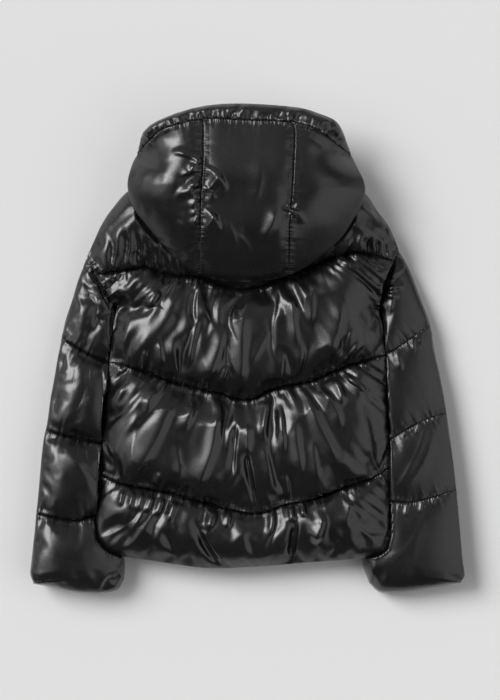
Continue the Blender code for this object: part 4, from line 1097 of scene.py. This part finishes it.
lining = ClothNodes("lining_taffeta")
lining.shader.inputs["Sheen Weight"].default_value = 0.15
lining.shader.inputs["Sheen Roughness"].default_value = 0.4
lining.to_shader(lining.mixed(lining.noise(14.0, 3.0), LINING_BLACK, LINING_GREY), "Base Color")
lining.to_shader(lining.ranged(lining.noise(30.0, 2.0), 0.3, 0.7, 0.48, 0.6), "Roughness")
warp = lining.bump(lining.threads("X", 0.0006), 0.25, 0.0002)
lining.to_shader(lining.bump(lining.threads("Y", 0.0006), 0.25, 0.0002, warp), "Normal")
lining_cloth = lining.material

# ------------------------------------------------------------
# Shell cloth: thin black nylon with a glossy coating. It mirrors the light in sharp streaks,
# its fine crinkles break them up, and the stitching pulls tiny gathers into it.
# ------------------------------------------------------------
SHELL_BLACK = (0.0032, 0.0032, 0.0035, 1.0)
SHELL_GREY = (0.0062, 0.0062, 0.0066, 1.0)

shell = ClothNodes("glossy_black_nylon")
shell.shader.inputs["Specular IOR Level"].default_value = 0.5
shell.shader.inputs["Coat Weight"].default_value = 0.25
shell.shader.inputs["Coat Roughness"].default_value = 0.2
patches = shell.ranged(shell.noise(9.0, 3.0), 0.35, 0.7, 0, 1)
shell.to_shader(shell.mixed(patches, SHELL_BLACK, SHELL_GREY), "Base Color")
shell.to_shader(shell.ranged(shell.noise(26.0, 4.0), 0.3, 0.7, 0.24, 0.32), "Roughness")
beside_seam = shell.ranged(shell.attribute("stitch"), 0.0005, 0.010, 1, 0)
drawn_in = shell.product(shell.gathers(shell.attribute("run"), 260.0), beside_seam)
pulled = shell.bump(drawn_in, 1.0, 0.0024)
crinkle = shell.bump(shell.noise(38.0, 2.0), 0.28, 0.0012, pulled)
warp = shell.bump(shell.threads("X", 0.0005), 0.08, 0.0002, crinkle)
shell.to_shader(shell.bump(shell.threads("Y", 0.0005), 0.08, 0.0002, warp), "Normal")
shell_cloth = shell.material
for panel in panels:
    panel.piece.data.materials.append(shell_cloth)
    panel.piece.data.materials.append(lining_cloth)

# ------------------------------------------------------------
# Front zip: two woven tapes that meet between the fronts, a row of moulded teeth on each, a
# retainer box at the hem and a slider with its pull at the top. All black plastic on polyester.
# ------------------------------------------------------------
ZIP_WIDTH = 8.4
ZIP_THICK = 4.0
ZIP_BOTTOM_Z = 9.0
ZIP_START_Y = -372.0
ZIP_END_Y = 384.0
TAPE_THICK = 1.2
TOOTH_PITCH = 2.8
TOOTH_SIZE = (3.4, 1.7, 2.6)
TOOTH_SHIFT = 0.9
BOX_SIZE = (8.2, 11.0, 4.0)
SLIDER_GAP = 0.3
SLIDER_LENGTH = 12.0
SLIDER_THICK = 9.0
PLATE_THICK = 1.8
PULL_SIZE = (5.0, 17.0, 1.5)
PULL_DROP = 5.6
NECK_SIZE = (3.0, 7.2, 7.2)
EYE_SIZE = (3.0, 5.0, 3.0)
EYE_SHIFT = 1.0
TAPE_BLACK = (0.014, 0.014, 0.015, 1.0)
TAPE_GREY = (0.028, 0.028, 0.03, 1.0)
PLASTIC_BLACK = (0.012, 0.012, 0.012, 1.0)
PLASTIC_GREY = (0.02, 0.02, 0.02, 1.0)


def add_block(bm, size, centre, bevel):
    """A block with rounded edges, in millimetres."""
    matrix = Matrix.Translation(Vector(centre) * MM) @ Matrix.Diagonal((*(Vector(size) * MM), 1.0))
    verts = bmesh.ops.create_cube(bm, size=1.0, matrix=matrix)["verts"]
    edges = list({edge for vert in verts for edge in vert.link_edges})
    bmesh.ops.bevel(bm, geom=edges, offset=bevel * MM, segments=2, profile=0.5, material=-1, affect="EDGES")


def add_bean(bm, size, centre, turn=0.0):
    """A small rounded grain of twenty faces, such as a tooth or a stitch."""
    matrix = (Matrix.Translation(Vector(centre) * MM) @ Matrix.Rotation(turn, 4, "Z")
              @ Matrix.Diagonal((*(Vector(size) * MM), 1.0)))
    bmesh.ops.create_icosphere(bm, subdivisions=1, radius=0.5, matrix=matrix)


def finished(bm, name, material):
    """The piece from a mesh, on the root body."""
    mesh = bpy.data.meshes.new(name)
    bm.to_mesh(mesh)
    bm.free()
    mesh.materials.append(material)
    mesh.shade_smooth()
    piece = bpy.data.objects.new(name, mesh)
    bpy.context.scene.collection.objects.link(piece)
    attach(piece, "root")
    return piece


tape = ClothNodes("woven_zip_tape")
tape.to_shader(tape.mixed(tape.noise(60.0, 3.0), TAPE_BLACK, TAPE_GREY), "Base Color")
tape.to_shader(tape.ranged(tape.noise(90.0, 2.0), 0.3, 0.7, 0.6, 0.75), "Roughness")
rib = tape.bump(tape.threads("Y", 0.0008), 0.5, 0.0003)
tape.to_shader(tape.bump(tape.threads("X", 0.0006), 0.3, 0.0002, rib), "Normal")
plastic = ClothNodes("moulded_black_plastic")
plastic.to_shader(plastic.mixed(plastic.noise(120.0, 3.0), PLASTIC_BLACK, PLASTIC_GREY), "Base Color")
plastic.to_shader(plastic.ranged(plastic.noise(200.0, 3.0), 0.3, 0.7, 0.3, 0.42), "Roughness")
plastic.to_shader(plastic.bump(plastic.noise(700.0, 2.0), 0.15, 0.0001), "Normal")

zip_middle_z = ZIP_BOTTOM_Z + ZIP_THICK / 2
zip_length = ZIP_END_Y - ZIP_START_Y
bm = bmesh.new()
add_block(bm, (ZIP_WIDTH, zip_length, TAPE_THICK), (0, ZIP_START_Y + zip_length / 2, zip_middle_z), 0.3)
zip_tape = finished(bm, "zip_tape", tape.material)
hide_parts("front_zip")

bm = bmesh.new()
for number in range(int((zip_length - BOX_SIZE[1]) / TOOTH_PITCH)):
    tooth_y = ZIP_START_Y + BOX_SIZE[1] + (number + 0.5) * TOOTH_PITCH
    for hand in (-1, 1):
        add_bean(bm, TOOTH_SIZE, (hand * TOOTH_SHIFT, tooth_y + hand * TOOTH_PITCH / 4, zip_middle_z))
add_block(bm, BOX_SIZE, (0, ZIP_START_Y + BOX_SIZE[1] / 2, zip_middle_z), 0.8)
finished(bm, "zip_teeth", plastic.material)

slider_y = ZIP_END_Y + SLIDER_GAP + SLIDER_LENGTH / 2
plate_z = (SLIDER_THICK - PLATE_THICK) / 2
bm = bmesh.new()
for hand in (-1, 1):
    add_block(bm, (ZIP_WIDTH, SLIDER_LENGTH, PLATE_THICK), (0, slider_y, zip_middle_z + hand * plate_z), 0.8)
add_block(bm, NECK_SIZE, (0, slider_y, zip_middle_z), 0.5)
add_block(bm, PULL_SIZE, (0, slider_y - PULL_SIZE[1] / 2, zip_middle_z - PULL_DROP), 0.6)
add_block(bm, EYE_SIZE, (0, slider_y - EYE_SHIFT, zip_middle_z - PULL_DROP + EYE_SHIFT), 0.6)
zip_slider = finished(bm, "zip_slider_and_pull", plastic.material)
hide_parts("zip_slider")

# ------------------------------------------------------------
# Stitches: black polyester thread along the quilting seams of the back and the sleeves, the two
# seams of the hood and its casing. Each shows as a short bead of thread pulled into the cloth.
# ------------------------------------------------------------
STITCH_PITCH = 4.2
STITCH_SIZE = (3.0, 0.8, 0.7)
STITCH_RISE = 0.4
BODY_STRETCH = (0.03, 0.97)
HOOD_STRETCH = (0.01, 0.99)
THREAD_BLACK = (0.016, 0.016, 0.017, 1.0)
THREAD_GREY = (0.03, 0.03, 0.032, 1.0)

thread = ClothNodes("black_polyester_thread")
thread.to_shader(thread.mixed(thread.noise(300.0, 2.0), THREAD_BLACK, THREAD_GREY), "Base Color")
thread.to_shader(thread.ranged(thread.noise(500.0, 2.0), 0.3, 0.7, 0.4, 0.55), "Roughness")
thread.to_shader(thread.bump(thread.noise(2500.0, 2.0), 0.3, 0.0001), "Normal")


def stitched(bm, path, from_share, to_share):
    """Beads of thread along a path of points (x, y, z)."""
    lengths = run_lengths(path[:, :2])
    shares = np.linspace(from_share, to_share, int(lengths[-1] * (to_share - from_share) / STITCH_PITCH))
    points = np.stack([np.interp(shares, lengths / lengths[-1], path[:, axis]) for axis in range(3)], axis=1)
    for (x, y, z), (run_x, run_y, _) in zip(points, np.gradient(points, axis=0)):
        add_bean(bm, STITCH_SIZE, (x, y, z + STITCH_RISE), math.atan2(run_y, run_x))


bm = bmesh.new()
for seam in back_seams:
    stitched(bm, np.column_stack([seam, back_level(seam)]), *BODY_STRETCH)
for path in sleeve_stitch_paths:
    stitched(bm, path, *BODY_STRETCH)
for seam in [*hood_seams, casing_seam]:
    stitched(bm, np.column_stack([seam, hood_height(seam)]), *HOOD_STRETCH)
finished(bm, "quilting_stitches", thread.material)

# ------------------------------------------------------------
# Surface, light and camera: a pale floor, a soft key light from the upper left, three broad dim
# ones from the left, the top and the right, and a long lens straight above.
# ------------------------------------------------------------
FLOOR_GREY = (0.72, 0.72, 0.72, 1.0)
FLOOR_HALF = 6.0
WORLD_GREY = (0.10, 0.10, 0.10, 1.0)
SUN_DISTANCE = 3
LENS_DISTANCE = 7.0
FOCUS_HEIGHT = 0.06
FRAME_HEIGHT = 1.225
SENSOR_SIZE = 36.0
CAMERA_X = 0.0044
Sun = namedtuple("Sun", "name towards spread strength")
SUNS = [
    Sun("key_light", (-1.6, 1.0, 1.75), 32, 2.5), Sun("left_panel", (-2.0, 0.4, 1.5), 60, 0.9),
    Sun("top_panel", (-0.2, 2.2, 1.3), 90, 0.35), Sun("right_panel", (2.1, -0.3, 1.65), 70, 0.85),
]

bm = bmesh.new()
bmesh.ops.create_grid(bm, x_segments=1, y_segments=1, size=FLOOR_HALF)
floor_mesh = bpy.data.meshes.new("floor")
bm.to_mesh(floor_mesh)
bm.free()
floor = bpy.data.objects.new("floor", floor_mesh)
bpy.context.scene.collection.objects.link(floor)
floor_paint = bpy.data.materials.new("pale_floor")
floor_paint.use_nodes = True
floor_shader = floor_paint.node_tree.nodes["Principled BSDF"]
floor_shader.inputs["Base Color"].default_value = FLOOR_GREY
floor_shader.inputs["Roughness"].default_value = 0.9
floor_mesh.materials.append(floor_paint)

# Each light is so far away that it is as even over the whole surface as a large softbox.
for sun in SUNS:
    light = bpy.data.lights.new(sun.name, "SUN")
    light.angle = math.radians(sun.spread)
    light.energy = sun.strength
    lamp = bpy.data.objects.new(sun.name, light)
    bpy.context.scene.collection.objects.link(lamp)
    lamp.location = Vector(sun.towards) * SUN_DISTANCE
    lamp.rotation_euler = Vector(sun.towards).to_track_quat("Z", "Y").to_euler()

world = bpy.data.worlds.new("studio")
bpy.context.scene.world = world
world.use_nodes = True
world.node_tree.nodes["Background"].inputs["Color"].default_value = WORLD_GREY
bpy.context.scene.view_settings.view_transform = "Standard"

camera_data = bpy.data.cameras.new("camera")
camera_data.sensor_fit = "VERTICAL"
camera_data.sensor_height = SENSOR_SIZE
camera_data.sensor_width = SENSOR_SIZE
camera_data.lens = SENSOR_SIZE * LENS_DISTANCE / FRAME_HEIGHT
camera = bpy.data.objects.new("camera", camera_data)
bpy.context.scene.collection.objects.link(camera)
camera.location = (CAMERA_X, 0.0, LENS_DISTANCE + FOCUS_HEIGHT)
bpy.context.scene.camera = camera
